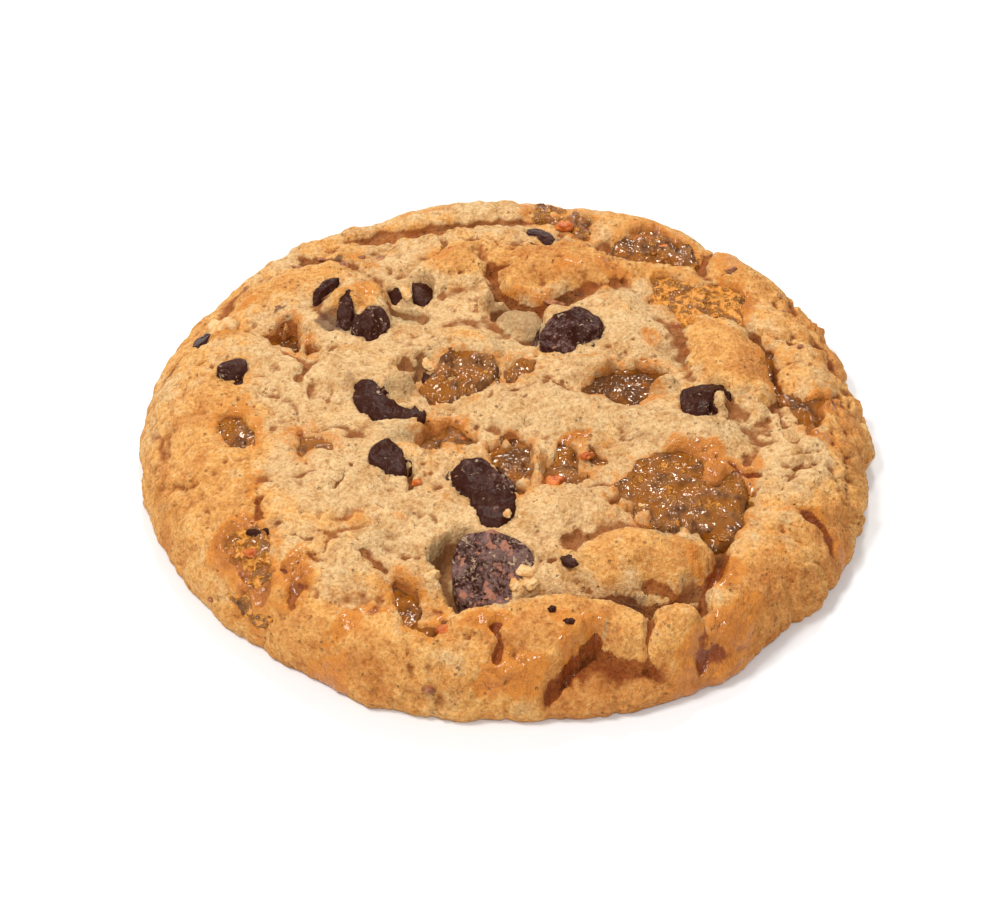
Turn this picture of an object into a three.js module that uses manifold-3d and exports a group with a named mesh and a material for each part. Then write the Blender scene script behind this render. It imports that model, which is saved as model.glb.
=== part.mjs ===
// A large chocolate chip cookie with melted toffee, in millimetres, +Z up.
// It lies on its flat base, centred on the origin, with +Y pointing away from the viewer.
// The dough is one closed sheet: a flat-topped dome on which lobes of dough overlap, with folds where one
// layer ends on another, and cracks. The chips and the toffee are cushions set in open wells of the dough.
import * as THREE from "three";
import { mergeVertices } from "three/addons/utils/BufferGeometryUtils.js";
import Module from "manifold-3d";

const wasm = await Module();
wasm.setup();

// Driving dimensions
const cookieRadius = 54.7;
const crownHeight = 11.0; // the dome at its centre, below the lobes
const domePower = 7; // how flat the dome is before its rim falls
const waistHeight = 1.8; // where the edge reaches furthest out
const baseInset = 1.2; // how far the flat base stays inside the waist
const creaseBlend = 0.4; // how softly two lobes meet
const pocketGap = 0.4; // clearance between the dough and a piece set in it
const gridSteps = 48; // squares along each side of the top's grid
const ringCrowding = 0.12; // how much the grid's rings crowd towards the edge; less is more
const facetLength = 2.6; // length of the sides round a chip or a piece of toffee
const blockHeight = 24; // taller than the cookie
const wellTop = 9; // how far a well is open above a piece's edge
const stepWidth = 2.4; // how far the step at a fold runs
const waveSize = 0.07; // share by which a lobe's edge leaves a true oval

// Where the round outline swells or is notched: at an angle, over a width in degrees, by a distance
const rimSwells = [
  { angle: 12, width: 3, out: -1 },
  { angle: 0, width: 9, out: 0.3 },
  { angle: 40, width: 10, out: 0.5 },
  { angle: 51.5, width: 2, out: -1 },
  { angle: 62, width: 10, out: 0.6 },
  { angle: 90, width: 50, out: 0.7 },
  { angle: 122, width: 12, out: -1 },
  { angle: 157, width: 16, out: 0.8 },
  { angle: 178, width: 14, out: 0.2 },
  { angle: 222, width: 18, out: -0.3 },
  { angle: 222, width: 5, out: 0.5 },
  { angle: 249, width: 6, out: 1.2 },
  { angle: 259, width: 7, out: 0.9 },
  { angle: 268, width: 18, out: 1.2 },
  { angle: 288, width: 10, out: 1.7 },
  { angle: 303, width: 9, out: 2.3 },
  { angle: 328, width: 12, out: 0.9 },
];

// Lobes of dough: centre, length and width, turn of the long axis from +X, rise over the dome, and how
// round the section is (0.5 is a half ellipse with steep sides, 1 a parabola)
const lobes = {
  "whole middle": { at: [0, 0], size: [90, 86], turn: 0, rise: 2.6, round: 0.6 },
  left: { at: [-41.5, 2], size: [32, 23], turn: 78, rise: 3, round: 0.6 },
  "left field": { at: [-38, -18], size: [40, 30], turn: 90, rise: 2.6, round: 0.8 },
  "middle field": { at: [-25, -19], size: [30, 26], turn: 0, rise: 3.5, round: 0.8 },
  "left of middle": { at: [-26, 5], size: [17, 14], turn: 60, rise: 3.6, round: 0.7 },
  mound: { at: [-22.6, 19.8], size: [12.5, 11], turn: 40, rise: 4.8, round: 0.6 },
  "far left": { at: [-31, 28], size: [30, 20], turn: 40, rise: 3, round: 0.7 },
  "far left rim": { at: [-31, 41], size: [34, 13], turn: 38, rise: 3.6, round: 0.7 },
  "far rim": { at: [-7, 50], size: [48, 11], turn: 4, rise: 3.1, round: 0.6 },
  "far slope": { at: [-5, 36], size: [36, 14], turn: 8, rise: 3.3, round: 0.8 },
  "back left": { at: [-9, 30], size: [15, 13], turn: 20, rise: 4.3, round: 0.6 },
  back: { at: [9, 29.8], size: [26, 11], turn: -6, rise: 4.3, round: 0.6 },
  "far right rim": { at: [21, 45.5], size: [32, 14], turn: -26, rise: 3.2, round: 0.6 },
  "right back rim": { at: [36, 33], size: [20, 13], turn: 125, rise: 3.4, round: 0.6 },
  "behind crown": { at: [17, 18.6], size: [18, 13], turn: -30, rise: 4.2, round: 0.6 },
  "centre mound": { at: [-6.3, 9.8], size: [14, 13.5], turn: 20, rise: 4.7, round: 0.6 },
  "centre right": { at: [11.8, 5.4], size: [12, 7], turn: 10, rise: 4.4, round: 0.6 },
  "big right": { at: [32.8, 6.5], size: [23, 13], turn: 112, rise: 4.9, round: 0.6 },
  "right rim back": { at: [43.5, 13], size: [26, 12], turn: 112, rise: 3.4, round: 0.6 },
  "right rim": { at: [45, -14], size: [42, 19], turn: 80, rise: 3.4, round: 0.7 },
  "middle ridge": { at: [8, -4.8], size: [37, 12], turn: -4, rise: 4.4, round: 0.6 },
  "right of middle": { at: [27, -8.5], size: [23, 11], turn: -8, rise: 4.2, round: 0.7 },
  "right front rim": { at: [37, -34], size: [34, 19], turn: 50, rise: 3, round: 0.8 },
  "below pits": { at: [11, -26], size: [25, 12], turn: 2, rise: 4.2, round: 0.6 },
  "over the fold": { at: [19, -34.5], size: [23, 11], turn: 4, rise: 4.4, round: 0.6 },
  "left front": { at: [-24, -33], size: [28, 18], turn: -20, rise: 3, round: 0.8 },
  "front left rim": { at: [-27, -43], size: [38, 18], turn: -30, rise: 2.6, round: 0.9 },
  "front ridge": { at: [6.5, -47.4], size: [32, 12], turn: 0, rise: 4.6, round: 0.6 },
  "front ridge left": { at: [-13, -50], size: [24, 9], turn: -14, rise: 3.4, round: 0.6 },
  "front ridge right": { at: [24, -47.4], size: [8, 11], turn: 5, rise: 4.4, round: 0.6 },
};

// Dips between the lobes, in the same terms
const dips = [
  { at: [-14.5, 24], size: [9, 8], turn: 0, depth: 1.6 },
  { at: [1.6, 17], size: [9, 11], turn: 20, depth: 1.6 },
  { at: [-13, 5.5], size: [5, 12], turn: 15, depth: 1.6 },
  { at: [17, 2], size: [17, 10], turn: 30, depth: 1.4 },
  { at: [39.5, 4], size: [7, 22], turn: -8, depth: 1.8 },
  { at: [1, -41], size: [40, 6], turn: 2, depth: 1.4 },
  { at: [8, -38.5], size: [12, 5], turn: 0, depth: 1 },
  { at: [18, 38], size: [40, 7], turn: -18, depth: 1.4 },
  { at: [-33, 14], size: [12, 8], turn: -40, depth: 1 },
  { at: [5, 23], size: [16, 4], turn: -8, depth: 1 },
  { at: [-14, 42], size: [30, 5], turn: 12, depth: 0.7 },
  { at: [25, -21], size: [22, 16], turn: -18, depth: 0.9 },
  { at: [-9, -9.5], size: [12, 6], turn: -30, depth: 1 },
  { at: [29, 22], size: [18, 12], turn: 0, depth: 1 },
  { at: [-17.5, -35], size: [5, 10], turn: -30, depth: 0.8 },
  { at: [26, 13], size: [5, 10], turn: 20, depth: 1 },
  { at: [-22, -8.5], size: [10, 4], turn: -20, depth: 0.7 },
  { at: [31, -31], size: [8, 14], turn: -20, depth: 0.8 },
  { at: [-33, 33], size: [14, 5], turn: 30, depth: 0.7 },
  { at: [9, 21.5], size: [8, 4], turn: 0, depth: 0.8 },
];

// Lips and tongues of dough beside the chips and between the pits
const lips = {
  "on the hooked chip": { at: [-15.8, 0.9], size: [8.4, 6], turn: 118, rise: 5, round: 0.8 },
  "behind the matte chip": { at: [-14.6, -9], size: [9, 5], turn: 8, rise: 4.2, round: 0.8 },
  finger: { at: [4.8, -16.2], size: [13, 3.6], turn: 95, rise: 4.2, round: 0.8 },
  "beside the right pit": { at: [23.8, 1.4], size: [5.6, 3.4], turn: -10, rise: 4.4, round: 0.8 },
  "on the right chip": { at: [31.4, -3.6], size: [8.5, 2.9], turn: 100, rise: 4.8, round: 0.8 },
  tuft: { at: [-2.2, 19.8], size: [6.6, 3], turn: 48, rise: 4, round: 0.9 },
};

// Folds, where one layer of dough ends on another: the line, with the raised layer on its left, the step,
// and how far back the raised layer falls away
const folds = {
  "left lobe": { path: [[-30, 2.5], [-31, 7.5], [-35.5, 10.5], [-36.3, 13.4],
    [-40.5, 15.5]], step: 1.7, reach: 5 },
  "mound top": { path: [[-17.6, 17], [-18.2, 21.9], [-20.8, 24.2], [-23.5, 23],
    [-27.8, 19.8]], step: 1.4, reach: 3 },
  "back lobe foot": { path: [[-3, 26], [-1, 24.9], [1, 24], [3.1, 23.2], [6, 22.3], [9, 24],
    [12.6, 24.7]], step: 1.8, reach: 4 },
  "in front of the far toffee": { path: [[27, 33], [21, 31.6], [18, 32.7], [15, 34.5], [12.4, 36.7],
    [8.5, 37]], step: 1.6, reach: 4 },
  "big right lobe": { path: [[40, -2], [39.8, 4], [39.1, 8.5], [37.6, 12.3], [35.5, 16.4],
    [31.5, 17.8]], step: 2.2, reach: 4 },
  "front ridge": { path: [[20, -45.4], [17, -43.4], [14.4, -41.8], [11.6, -42.2], [8.1, -42],
    [5.4, -41], [3.3, -41.4], [-0.9, -43.4], [-5, -45], [-7.8, -46.8]], step: 1.4, reach: 3 },
  "over the dark pocket": { path: [[3.5, -39], [6, -39.6], [9, -39.6], [12, -41], [16.5, -39.5],
    [20, -43]], step: 1.8, reach: 4 },
  "under the centre mound": { path: [[-12, 8.5], [-8.5, 10.4], [-6.6, 8.8], [-4.4, 8], [-1, 7.4],
    [0, 9.5]], step: 0.8, reach: 3 },
  "far crease": { path: [[-24, 35], [-16, 39], [-10.7, 41.3], [-3, 44],
    [-0.5, 47.5]], step: 1, reach: 4 },
};

// Cracks: the points they pass, half their width, and their depth
const cracks = {
  "to the notch": { path: [[30.6, 31.5], [30.8, 34.6], [33.5, 39], [36, 42]], width: 1.9, depth: 1.1 },
  "back lobe": { path: [[-2.6, 29.5], [-1.6, 26], [-0.9, 23.6], [4, 22],
    [9, 23]], width: 1.9, depth: 1.1 },
  "far left": { path: [[-32, 35.6], [-31, 33.4], [-28, 33.9], [-23.8, 31.3]], width: 1.9, depth: 0.8 },
  "tail of the matte chip": { path: [[-14.4, -16.5], [-13.6, -20.7]], width: 1.9, depth: 1.2 },
  "to the front toffee": { path: [[-19.8, -33.5], [-18.1, -35.9], [-16.7, -37.5],
    [-15, -39.6]], width: 1.9, depth: 0.7 },
  "upright on the ridge": { path: [[20.2, -44], [19, -46.5], [19.6, -48.5],
    [18.6, -50.5]], width: 1.9, depth: 1.7 },
  "ridge to the right": { path: [[26.5, -54], [26.8, -50], [27.5, -46],
    [27, -41.5]], width: 1.9, depth: 1.7 },
  "down to the front": { path: [[29.2, -28], [31, -33.7], [28, -38],
    [27, -41.5]], width: 1.9, depth: 1.4 },
  "right rim": { path: [[43.5, -23.9], [46.1, -25.5], [48.5, -29]], width: 1.9, depth: 1 },
  "in front of the field": { path: [[3.4, -40.4], [6, -41.2], [9, -41.4], [12, -42.2], [16.5, -41],
    [20, -43], [24, -41.5]], width: 1.9, depth: 1.7 },
  "beside the big lobe": { path: [[31, 19.5], [35.8, 17.6], [38.6, 12.5], [40, 8.5],
    [40.6, 4]], width: 1.9, depth: 1 },
};

// Hollows where the pale dough inside shows
const hollows = [
  { at: [-15.2, 7.2], size: [5, 5], turn: 0, depth: 1.6 },
  { at: [2, 16.6], size: [11, 8], turn: 105, depth: 1.6 },
  { at: [-14, 19.5], size: [9, 6], turn: -30, depth: 1.6 },
  { at: [8.8, -41.8], size: [8, 4], turn: -8, depth: 3 },
  { at: [25.6, -39], size: [5, 7], turn: -10, depth: 2.4 },
  { at: [-7.6, -38], size: [7, 13], turn: 8, depth: 3 },
];

// Shelves, where a lower layer comes out under the edge: the outline and the level inside it
const shelves = [
  {
    level: 5.6,
    outline: [
      [3, -60], [4.4, -55.6], [6.4, -53.6], [9.8, -50.4], [11.9, -48], [13, -48.6], [14.5, -49.4],
      [18.3, -50.7], [21.4, -50.4], [23.4, -52], [24.5, -55], [26, -60],
    ],
  },
  {
    level: 6.4,
    outline: [
      [24.2, -60], [24.9, -55], [25.2, -52.4], [26.6, -49.2], [28.6, -46.8], [31, -46.4], [34, -48.6],
      [38, -54],
    ],
  },
];

// The chips: the outlines of their parts, how far the edge lies below the dough's level, how far the top
// rises over the edge, the depth below it, the squareness of the section, and the lean to the right and
// away from the viewer
const chips = {
  chip_left_edge: {
    parts: [
      [[-47.4, 15.6], [-46.8, 13.4], [-45.3, 14], [-44.7, 16.4], [-45.2, 18.8], [-47, 17.7]],
    ],
    edge: 0.9,
    rise: 1.3,
    depth: 2,
    power: 2.4,
    lean: [0, 0],
  },
  chip_oval: {
    parts: [
      [[-43.2, 5], [-41.4, 2.9], [-39.4, 3.8], [-38.2, 5.7], [-38.9, 7.3], [-41, 7.8], [-42.7, 7]],
    ],
    edge: 0.8,
    rise: 1.4,
    depth: 2,
    power: 2.4,
    lean: [0, 0],
  },
  chip_lobe_left: {
    parts: [
      [[-30, 23], [-29.7, 21], [-28.6, 20.6], [-25, 26.5], [-27.3, 26.6], [-28.8, 25.1]],
    ],
    edge: 1,
    rise: 1.8,
    depth: 3,
    power: 2.4,
    lean: [0.1, 0],
  },
  chip_lobe_front: {
    parts: [
      [[-26, 17.8], [-25.9, 15.8], [-24.4, 14.2], [-22.8, 15.4], [-23.1, 18.4], [-23.6, 21.3],
       [-24.9, 20]],
      [[-25, 17], [-24.4, 15], [-20.9, 11.7], [-19.4, 12.3], [-17.8, 14.4], [-17, 16.2], [-19.3, 18],
       [-20.9, 18]],
    ],
    edge: 1,
    rise: 2,
    depth: 4,
    power: 2.2,
    lean: [0, 0.1],
  },
  chip_shade: {
    parts: [
      [[-18.7, 24.6], [-18.4, 23], [-12.7, 21.4], [-11.5, 22.4], [-11, 25.5], [-11.8, 27.6],
       [-13.7, 27.9], [-18, 26.7]],
    ],
    edge: 3,
    rise: 1.6,
    depth: 3,
    power: 2.4,
    lean: [0, 0],
  },
  chip_back: {
    parts: [
      [[3, 39.6], [3.4, 38.4], [5.3, 36.5], [7.1, 35.4], [8, 37], [7.5, 39.6], [5.9, 42.2], [3.8, 41.2]],
    ],
    edge: 0.9,
    rise: 1.6,
    depth: 2,
    power: 2.2,
    lean: [0, 0],
  },
  chip_crown: {
    parts: [
      [[4.8, 12.2], [5.2, 9.2], [8.9, 9], [10.5, 9.6], [15.3, 14.2], [14, 16.5], [11.9, 18.2],
       [9.6, 18.3], [7.5, 17], [5.9, 15]],
    ],
    edge: 0.9,
    rise: 2.1,
    depth: 4,
    power: 2.2,
    lean: [-0.08, 0.1],
  },
  chip_hook: {
    parts: [
      [[-22.9, -1.3], [-21.3, -4.7], [-18.8, -7.3], [-17, -4.5], [-18, -1], [-19.3, 2.3], [-20.9, 3.1],
       [-22.4, 1.9]],
      [[-19, -3.5], [-18.8, -7.3], [-14.1, -6.4], [-12.3, -5], [-12.8, -2.4]],
    ],
    edge: 1.2,
    rise: 1.8,
    depth: 4,
    power: 2.4,
    lean: [0, 0],
  },
  chip_matte: {
    parts: [
      [[-19.8, -15.1], [-19.5, -16.9], [-18.5, -18.2], [-16.7, -19.2], [-14.6, -18.9], [-14.2, -16.6],
       [-14.7, -13.6], [-15.5, -11.4], [-17, -10.6], [-18.6, -11.8], [-19.4, -13.2]],
    ],
    edge: 0.9,
    rise: 1.4,
    depth: 3,
    power: 2.6,
    lean: [0, 0],
  },
  chip_tall: {
    parts: [
      [[-8, -19], [-7.6, -21], [-4.5, -25.7], [-3.2, -27.5], [-1, -27.3], [0.4, -26.1], [1.3, -24.1],
       [1.4, -22.9], [0.1, -20.2], [-1.4, -18.3], [-3.3, -16.3], [-5.3, -15.2], [-7.2, -16.7]],
    ],
    edge: 1.1,
    rise: 1.7,
    depth: 4,
    power: 2.6,
    lean: [0, 0.08],
  },
  chunk_front: {
    parts: [
      [[-6.6, -36.6], [-6, -38.4], [-4.4, -39.8], [-1.4, -40], [0.2, -38.8], [3.2, -35], [3.5, -33.2],
       [1.4, -31.7], [-2.4, -31.3], [-5, -31.8], [-6.5, -33.2]],
    ],
    edge: 0.4,
    rise: 1.2,
    depth: 6,
    power: 5,
    lean: [-0.05, 0.3],
  },
  chip_right_hook: {
    parts: [
      [[25.3, -1.5], [26.8, -5.6], [28.2, -6.9], [29.9, -5.2], [30.9, -1], [30.8, 1.2], [28.9, 1.4],
       [27, 0.6]],
      [[28.9, 1.4], [29.5, -0.5], [33.2, -2.7], [33.5, -0.7], [32.5, 1.1], [30.8, 1.8]],
    ],
    edge: 1.2,
    rise: 1.8,
    depth: 3,
    power: 2.4,
    lean: [0, 0],
  },
};

// The toffee that melted into the dough, in the same terms
const toffee = {
  toffee_far_left: {
    parts: [
      [[3.1, 47], [4, 45.8], [9.2, 44.9], [14.5, 45.8], [12.8, 49], [10.3, 50.4], [5.1, 51.6],
       [3.5, 50.8]],
      [[9.2, 46.5], [10.6, 42.6], [12.3, 39.8], [13.5, 43], [14.5, 45.8]],
    ],
    edge: 0.7,
    rise: 0.5,
    depth: 2,
    power: 3,
    lean: [0, 0],
  },
  toffee_far_right: {
    parts: [
      [[16.3, 37], [17.6, 35.2], [19.8, 33.3], [21.9, 32.9], [30.6, 33.7], [30, 37.1], [28.3, 40.8],
       [24.5, 43.1], [20.5, 43.4], [18.2, 40.8]],
    ],
    edge: 1,
    rise: 0.6,
    depth: 2,
    power: 3,
    lean: [0, 0],
  },
  toffee_back_right: {
    parts: [
      [[21.4, 23.4], [27.3, 16.1], [29, 18.4], [31, 24], [29.4, 27.4], [26.7, 30.1], [24.5, 30.6],
       [22.5, 28]],
      [[28, 27.6], [29, 19], [35.7, 16.3], [36.5, 19], [37.3, 23.9], [36.6, 27.4], [33.8, 28.4]],
    ],
    edge: 1.3,
    rise: 0.9,
    depth: 2.5,
    power: 3,
    lean: [0, 0],
  },
  toffee_middle: {
    parts: [
      [[-13, 0.1], [-11.4, -1.8], [-9, -2.8], [-5, -0.4], [-2.4, 1.3], [-1, 3.4], [-0.9, 5.8],
       [-2, 7.4], [-7.6, 8.2], [-9.4, 7.4], [-10.6, 5.2], [-12, 2.6]],
    ],
    edge: 0.9,
    rise: 1.3,
    depth: 3,
    power: 2.6,
    lean: [0, 0.1],
  },
  toffee_centre: {
    parts: [
      [[-0.5, 3.8], [0.1, 2.1], [1.7, 1.7], [4.8, 4.5], [5.4, 6.2], [3.8, 8.6], [1.7, 7.8], [0.1, 6.6]],
    ],
    edge: 0.7,
    rise: 0.6,
    depth: 2,
    power: 3,
    lean: [0, 0],
  },
  toffee_right: {
    parts: [
      [[11.2, 1.4], [12.3, -0.4], [14.8, -1.6], [17, -2.5], [19.2, -2.9], [22.4, 0.1], [24.8, 5.9],
       [22.9, 7.6], [20.2, 7.6], [17.7, 6.8], [13, 3.9]],
    ],
    edge: 2.1,
    rise: 0.7,
    depth: 2.5,
    power: 4,
    lean: [0, 0],
  },
  toffee_crease: {
    parts: [
      [[38, 12], [38.9, 3.2], [40.3, 0.9], [40.6, 4.2], [40.4, 8], [39.8, 13.2]],
      [[39.6, 4.5], [40.3, 0.9], [42.3, -0.3], [46.9, -0.9], [48.2, 1], [48, 2.9]],
      [[42.3, 1], [42.9, -7.3], [44.2, -9.6], [47, -3.7], [46.9, -0.4]],
    ],
    edge: 2,
    rise: 0.5,
    depth: 2.5,
    power: 4,
    lean: [0, 0],
  },
  toffee_crevice: {
    parts: [
      [[-13.8, -10.2], [-12.1, -12.4], [-10.1, -12.9], [-5.7, -12.7], [-3.8, -11.4], [-6.1, -8.1],
       [-11.5, -3.9], [-12.9, -4.8]],
    ],
    edge: 1.9,
    rise: 0.4,
    depth: 2.5,
    power: 4,
    lean: [0, 0],
  },
  toffee_beside_chip: {
    parts: [
      [[-4.1, -11.4], [-2.8, -14.5], [0, -16.5], [3.9, -13.2], [2.8, -9.7], [0.9, -8.5]],
      [[-1, -17.6], [1.7, -23], [3.2, -21.4], [4.6, -19.2], [4, -13], [0, -14.5]],
    ],
    edge: 1.9,
    rise: 0.5,
    depth: 2.5,
    power: 4,
    lean: [0, 0],
  },
  toffee_pit: {
    parts: [
      [[4, -20.5], [6.8, -21.5], [10.9, -20.5], [15.6, -15], [12.9, -12], [10.8, -10.9], [8.4, -10.5],
       [7, -12.5]],
    ],
    edge: 1.9,
    rise: 0.6,
    depth: 2.5,
    power: 4,
    lean: [0, 0],
  },
  toffee_pool: {
    parts: [
      [[13.8, -24.7], [18.3, -28.6], [20.7, -29.5], [26.6, -29], [29.3, -28.6], [30.5, -24],
       [28.5, -13.9], [26.2, -12.1], [24, -12.1], [20.3, -14.6], [18.4, -16]],
      [[28, -19], [28.5, -28.6], [30.9, -30.6], [32.8, -29.4], [34.5, -25.8], [34.8, -21],
       [34.4, -16.4], [32.4, -15.4]],
    ],
    edge: 1.1,
    rise: 0.7,
    depth: 3,
    power: 3,
    lean: [0, 0],
  },
  toffee_front: {
    parts: [
      [[-15.9, -41.4], [-15, -44.2], [-13.8, -46.6], [-11, -42.6], [-12.2, -39.8], [-13.7, -38],
       [-15.6, -37]],
      [[-14.2, -45.5], [-12.3, -48.6], [-10.4, -49], [-8.6, -47.4], [-7.6, -45.4], [-8.8, -43.4],
       [-12.5, -42]],
    ],
    edge: 2.2,
    rise: 0.6,
    depth: 2.5,
    power: 4,
    lean: [0, 0],
  },
  toffee_dimple: {
    parts: [
      [[-32, -9.2], [-29.8, -15.4], [-29, -16.3], [-24.8, -13.9], [-24.4, -12], [-26, -9.6], [-28.1, -8]],
    ],
    edge: 1.1,
    rise: 0.5,
    depth: 2.5,
    power: 4,
    lean: [0, 0],
  },
  toffee_left_pit: {
    parts: [
      [[-42.7, -7], [-40.1, -11.3], [-38.4, -12.5], [-36.6, -11.7], [-37.8, -5], [-40.2, -4.5],
       [-42.1, -4.2]],
    ],
    edge: 1.3,
    rise: 0.5,
    depth: 2.5,
    power: 4,
    lean: [0, 0],
  },
  toffee_left_edge: {
    parts: [
      [[-41, -29], [-38.4, -36], [-32.2, -35], [-32, -32.4], [-32.6, -30.4], [-34, -28], [-36.2, -27],
       [-38, -26.5]],
      [[-38.4, -34], [-34.8, -40.4], [-32.9, -40.8], [-31.8, -38.4], [-32.2, -33]],
    ],
    edge: 0.8,
    rise: 0.5,
    depth: 2.5,
    power: 3,
    lean: [0, 0],
  },
  toffee_hollow: {
    parts: [
      [[-36.8, 14.5], [-36.4, 12.8], [-35, 12], [-33.6, 11.5], [-30.8, 12], [-31.3, 15], [-32, 17.3],
       [-33.7, 16.7]],
      [[-33.8, 12], [-32.2, 10.1], [-30.5, 8.3], [-29.1, 7.7], [-28.1, 10.4], [-28.5, 12.7],
       [-31.3, 15], [-33, 15]],
    ],
    edge: 2.4,
    rise: 0.6,
    depth: 2.5,
    power: 4,
    lean: [0, 0],
  },
};

const doughLook = { color: 0xd9a866, roughness: 0.85, metalness: 0 };
const chipLook = { color: 0x2e1a17, roughness: 0.4, metalness: 0 };
const toffeeLook = { color: 0x9a5f2c, roughness: 0.2, metalness: 0 };

const smooth = THREE.MathUtils.smoothstep;

// Distance from a feature's centre, as a share of its wavy oval edge
function ovalShare(feature, x, y) {
  const dx = x - feature.at[0];
  const dy = y - feature.at[1];
  const turn = THREE.MathUtils.degToRad(feature.turn);
  const along = (2 * (dx * Math.cos(turn) + dy * Math.sin(turn))) / feature.size[0];
  const across = (2 * (dy * Math.cos(turn) - dx * Math.sin(turn))) / feature.size[1];
  const angle = Math.atan2(across, along);
  const phase = feature.at[0] + 2 * feature.at[1];
  const wave = waveSize * (Math.sin(2 * angle + phase) + 0.6 * Math.sin(5 * angle - phase));
  return Math.hypot(along, across) / (1 + wave);
}

function lobeHeight(lobe, x, y) {
  const share = Math.min(ovalShare(lobe, x, y), 1);
  return lobe.rise * (1 - share * share) ** lobe.round;
}

// A bell over the dip's oval
function dipDepth(dip, x, y) {
  return dip.depth * Math.exp(-1.6 * ovalShare(dip, x, y) ** 2);
}

// The larger of several heights, with the corner where two are equal rounded off
function blendedMax(heights) {
  const top = Math.max(...heights);
  const sum = heights.reduce((total, h) => total + Math.exp((h - top) / creaseBlend), 0);
  return top + creaseBlend * Math.log(sum);
}

// A line with its corners cut off twice, a quarter from each end of each side
function rounded(points) {
  let line = points;
  for (let round = 0; round < 2; round++) {
    const cut = [line[0]];
    for (let i = 1; i < line.length; i++) {
      const [ax, ay] = line[i - 1];
      const [bx, by] = line[i];
      cut.push([ax * 0.75 + bx * 0.25, ay * 0.75 + by * 0.25]);
      cut.push([ax * 0.25 + bx * 0.75, ay * 0.25 + by * 0.75]);
    }
    line = [...cut, line[line.length - 1]];
  }
  return line;
}

// Nearest distance to a line, and on which side of it a point lies, +1 on the left
function lineDistance(line, x, y) {
  let away = Infinity;
  let side = 0;
  for (let i = 1; i < line.length; i++) {
    const [ax, ay] = line[i - 1];
    const [bx, by] = line[i];
    const span = (bx - ax) ** 2 + (by - ay) ** 2;
    const t = THREE.MathUtils.clamp(((x - ax) * (bx - ax) + (y - ay) * (by - ay)) / span, 0, 1);
    const distance = Math.hypot(x - ax - t * (bx - ax), y - ay - t * (by - ay));
    if (distance < away) {
      away = distance;
      side = Math.sign((bx - ax) * (y - ay) - (by - ay) * (x - ax));
    }
  }
  return { away, side };
}

// A step across a line: the left layer rises to the line, the right one dips to it, both fading out
function foldHeight(fold, x, y) {
  const { away, side } = lineDistance(fold.line, x, y);
  const [first, last] = [fold.path[0], fold.path[fold.path.length - 1]];
  const end = Math.min(Math.hypot(x - first[0], y - first[1]), Math.hypot(x - last[0], y - last[1]));
  const strength = fold.step * smooth(end, 0, 2.5);
  const raised = 0.5 * strength * Math.exp(-((away / fold.reach) ** 2));
  const lowered = -0.5 * strength * Math.exp(-((away / (0.5 * fold.reach)) ** 2));
  return THREE.MathUtils.lerp(lowered, raised, smooth(away * side, -stepWidth, 0));
}

// A bell curve across a crack's line
function crackDepth(crack, x, y) {
  const { away } = lineDistance(crack.line, x, y);
  return crack.depth * Math.exp(-((away / crack.width) ** 2));
}

function outlineRadius(angle) {
  const degrees = THREE.MathUtils.radToDeg(angle);
  return rimSwells.reduce((r, swell) => {
    const away = THREE.MathUtils.euclideanModulo(degrees - swell.angle + 180, 360) - 180;
    return r + swell.out * Math.exp(-((away / swell.width) ** 2));
  }, cookieRadius);
}

function shareOut(x, y) {
  return Math.hypot(x, y) / outlineRadius(Math.atan2(y, x));
}

function domeHeight(share) {
  return waistHeight + (crownHeight - waistHeight) * Math.sqrt(1 - Math.min(share, 1) ** domePower);
}

function shelfHeight(share, level) {
  return waistHeight + (level - waistHeight) * Math.sqrt(1 - Math.min(share, 1) ** 14);
}

// The relief fades out where the edge turns down, so that the edge keeps its own curve
function rimFade(share) {
  return Math.sqrt(Math.max(0, 1 - share ** 12));
}

function lobesAndDips(x, y) {
  const rises = Object.values(lobes).map((lobe) => lobeHeight(lobe, x, y));
  return dips.reduce((height, dip) => height - dipDepth(dip, x, y), blendedMax([0, ...rises]));
}

// Level of the dough without its folds and cracks, which the pieces are set against
function levelAt(x, y) {
  const share = shareOut(x, y);
  return domeHeight(share) + rimFade(share) * lobesAndDips(x, y);
}

const foldLines = Object.values(folds).map((fold) => ({ ...fold, line: rounded(fold.path) }));
const crackLines = Object.values(cracks).map((crack) => ({ ...crack, line: rounded(crack.path) }));

function doughHeight(x, y) {
  const share = shareOut(x, y);
  let relief = lobesAndDips(x, y);
  for (const fold of foldLines) relief += foldHeight(fold, x, y);
  for (const hollow of hollows) relief -= dipDepth(hollow, x, y);
  for (const lip of Object.values(lips)) {
    if (ovalShare(lip, x, y) < 1) relief = Math.max(relief, lobeHeight(lip, x, y));
  }
  for (const crack of crackLines) relief -= crackDepth(crack, x, y);
  return domeHeight(share) + rimFade(share) * relief;
}

// A square grid bent into a disc: each square ring of the grid becomes a ring of the disc
function discPoint(u, v) {
  const ring = Math.max(Math.abs(u), Math.abs(v));
  if (ring === 0) return { ring, angle: 0 };
  const angle =
    Math.abs(u) >= Math.abs(v)
      ? (v / u) * (Math.PI / 4) + (u < 0 ? Math.PI : 0)
      : Math.PI / 2 - (u / v) * (Math.PI / 4) + (v < 0 ? Math.PI : 0);
  return { ring, angle };
}

function ringShare(ring) {
  const whole = Math.hypot(1, ringCrowding) - ringCrowding;
  return 1 - (Math.hypot(1 - ring, ringCrowding) - ringCrowding) / whole;
}

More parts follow.
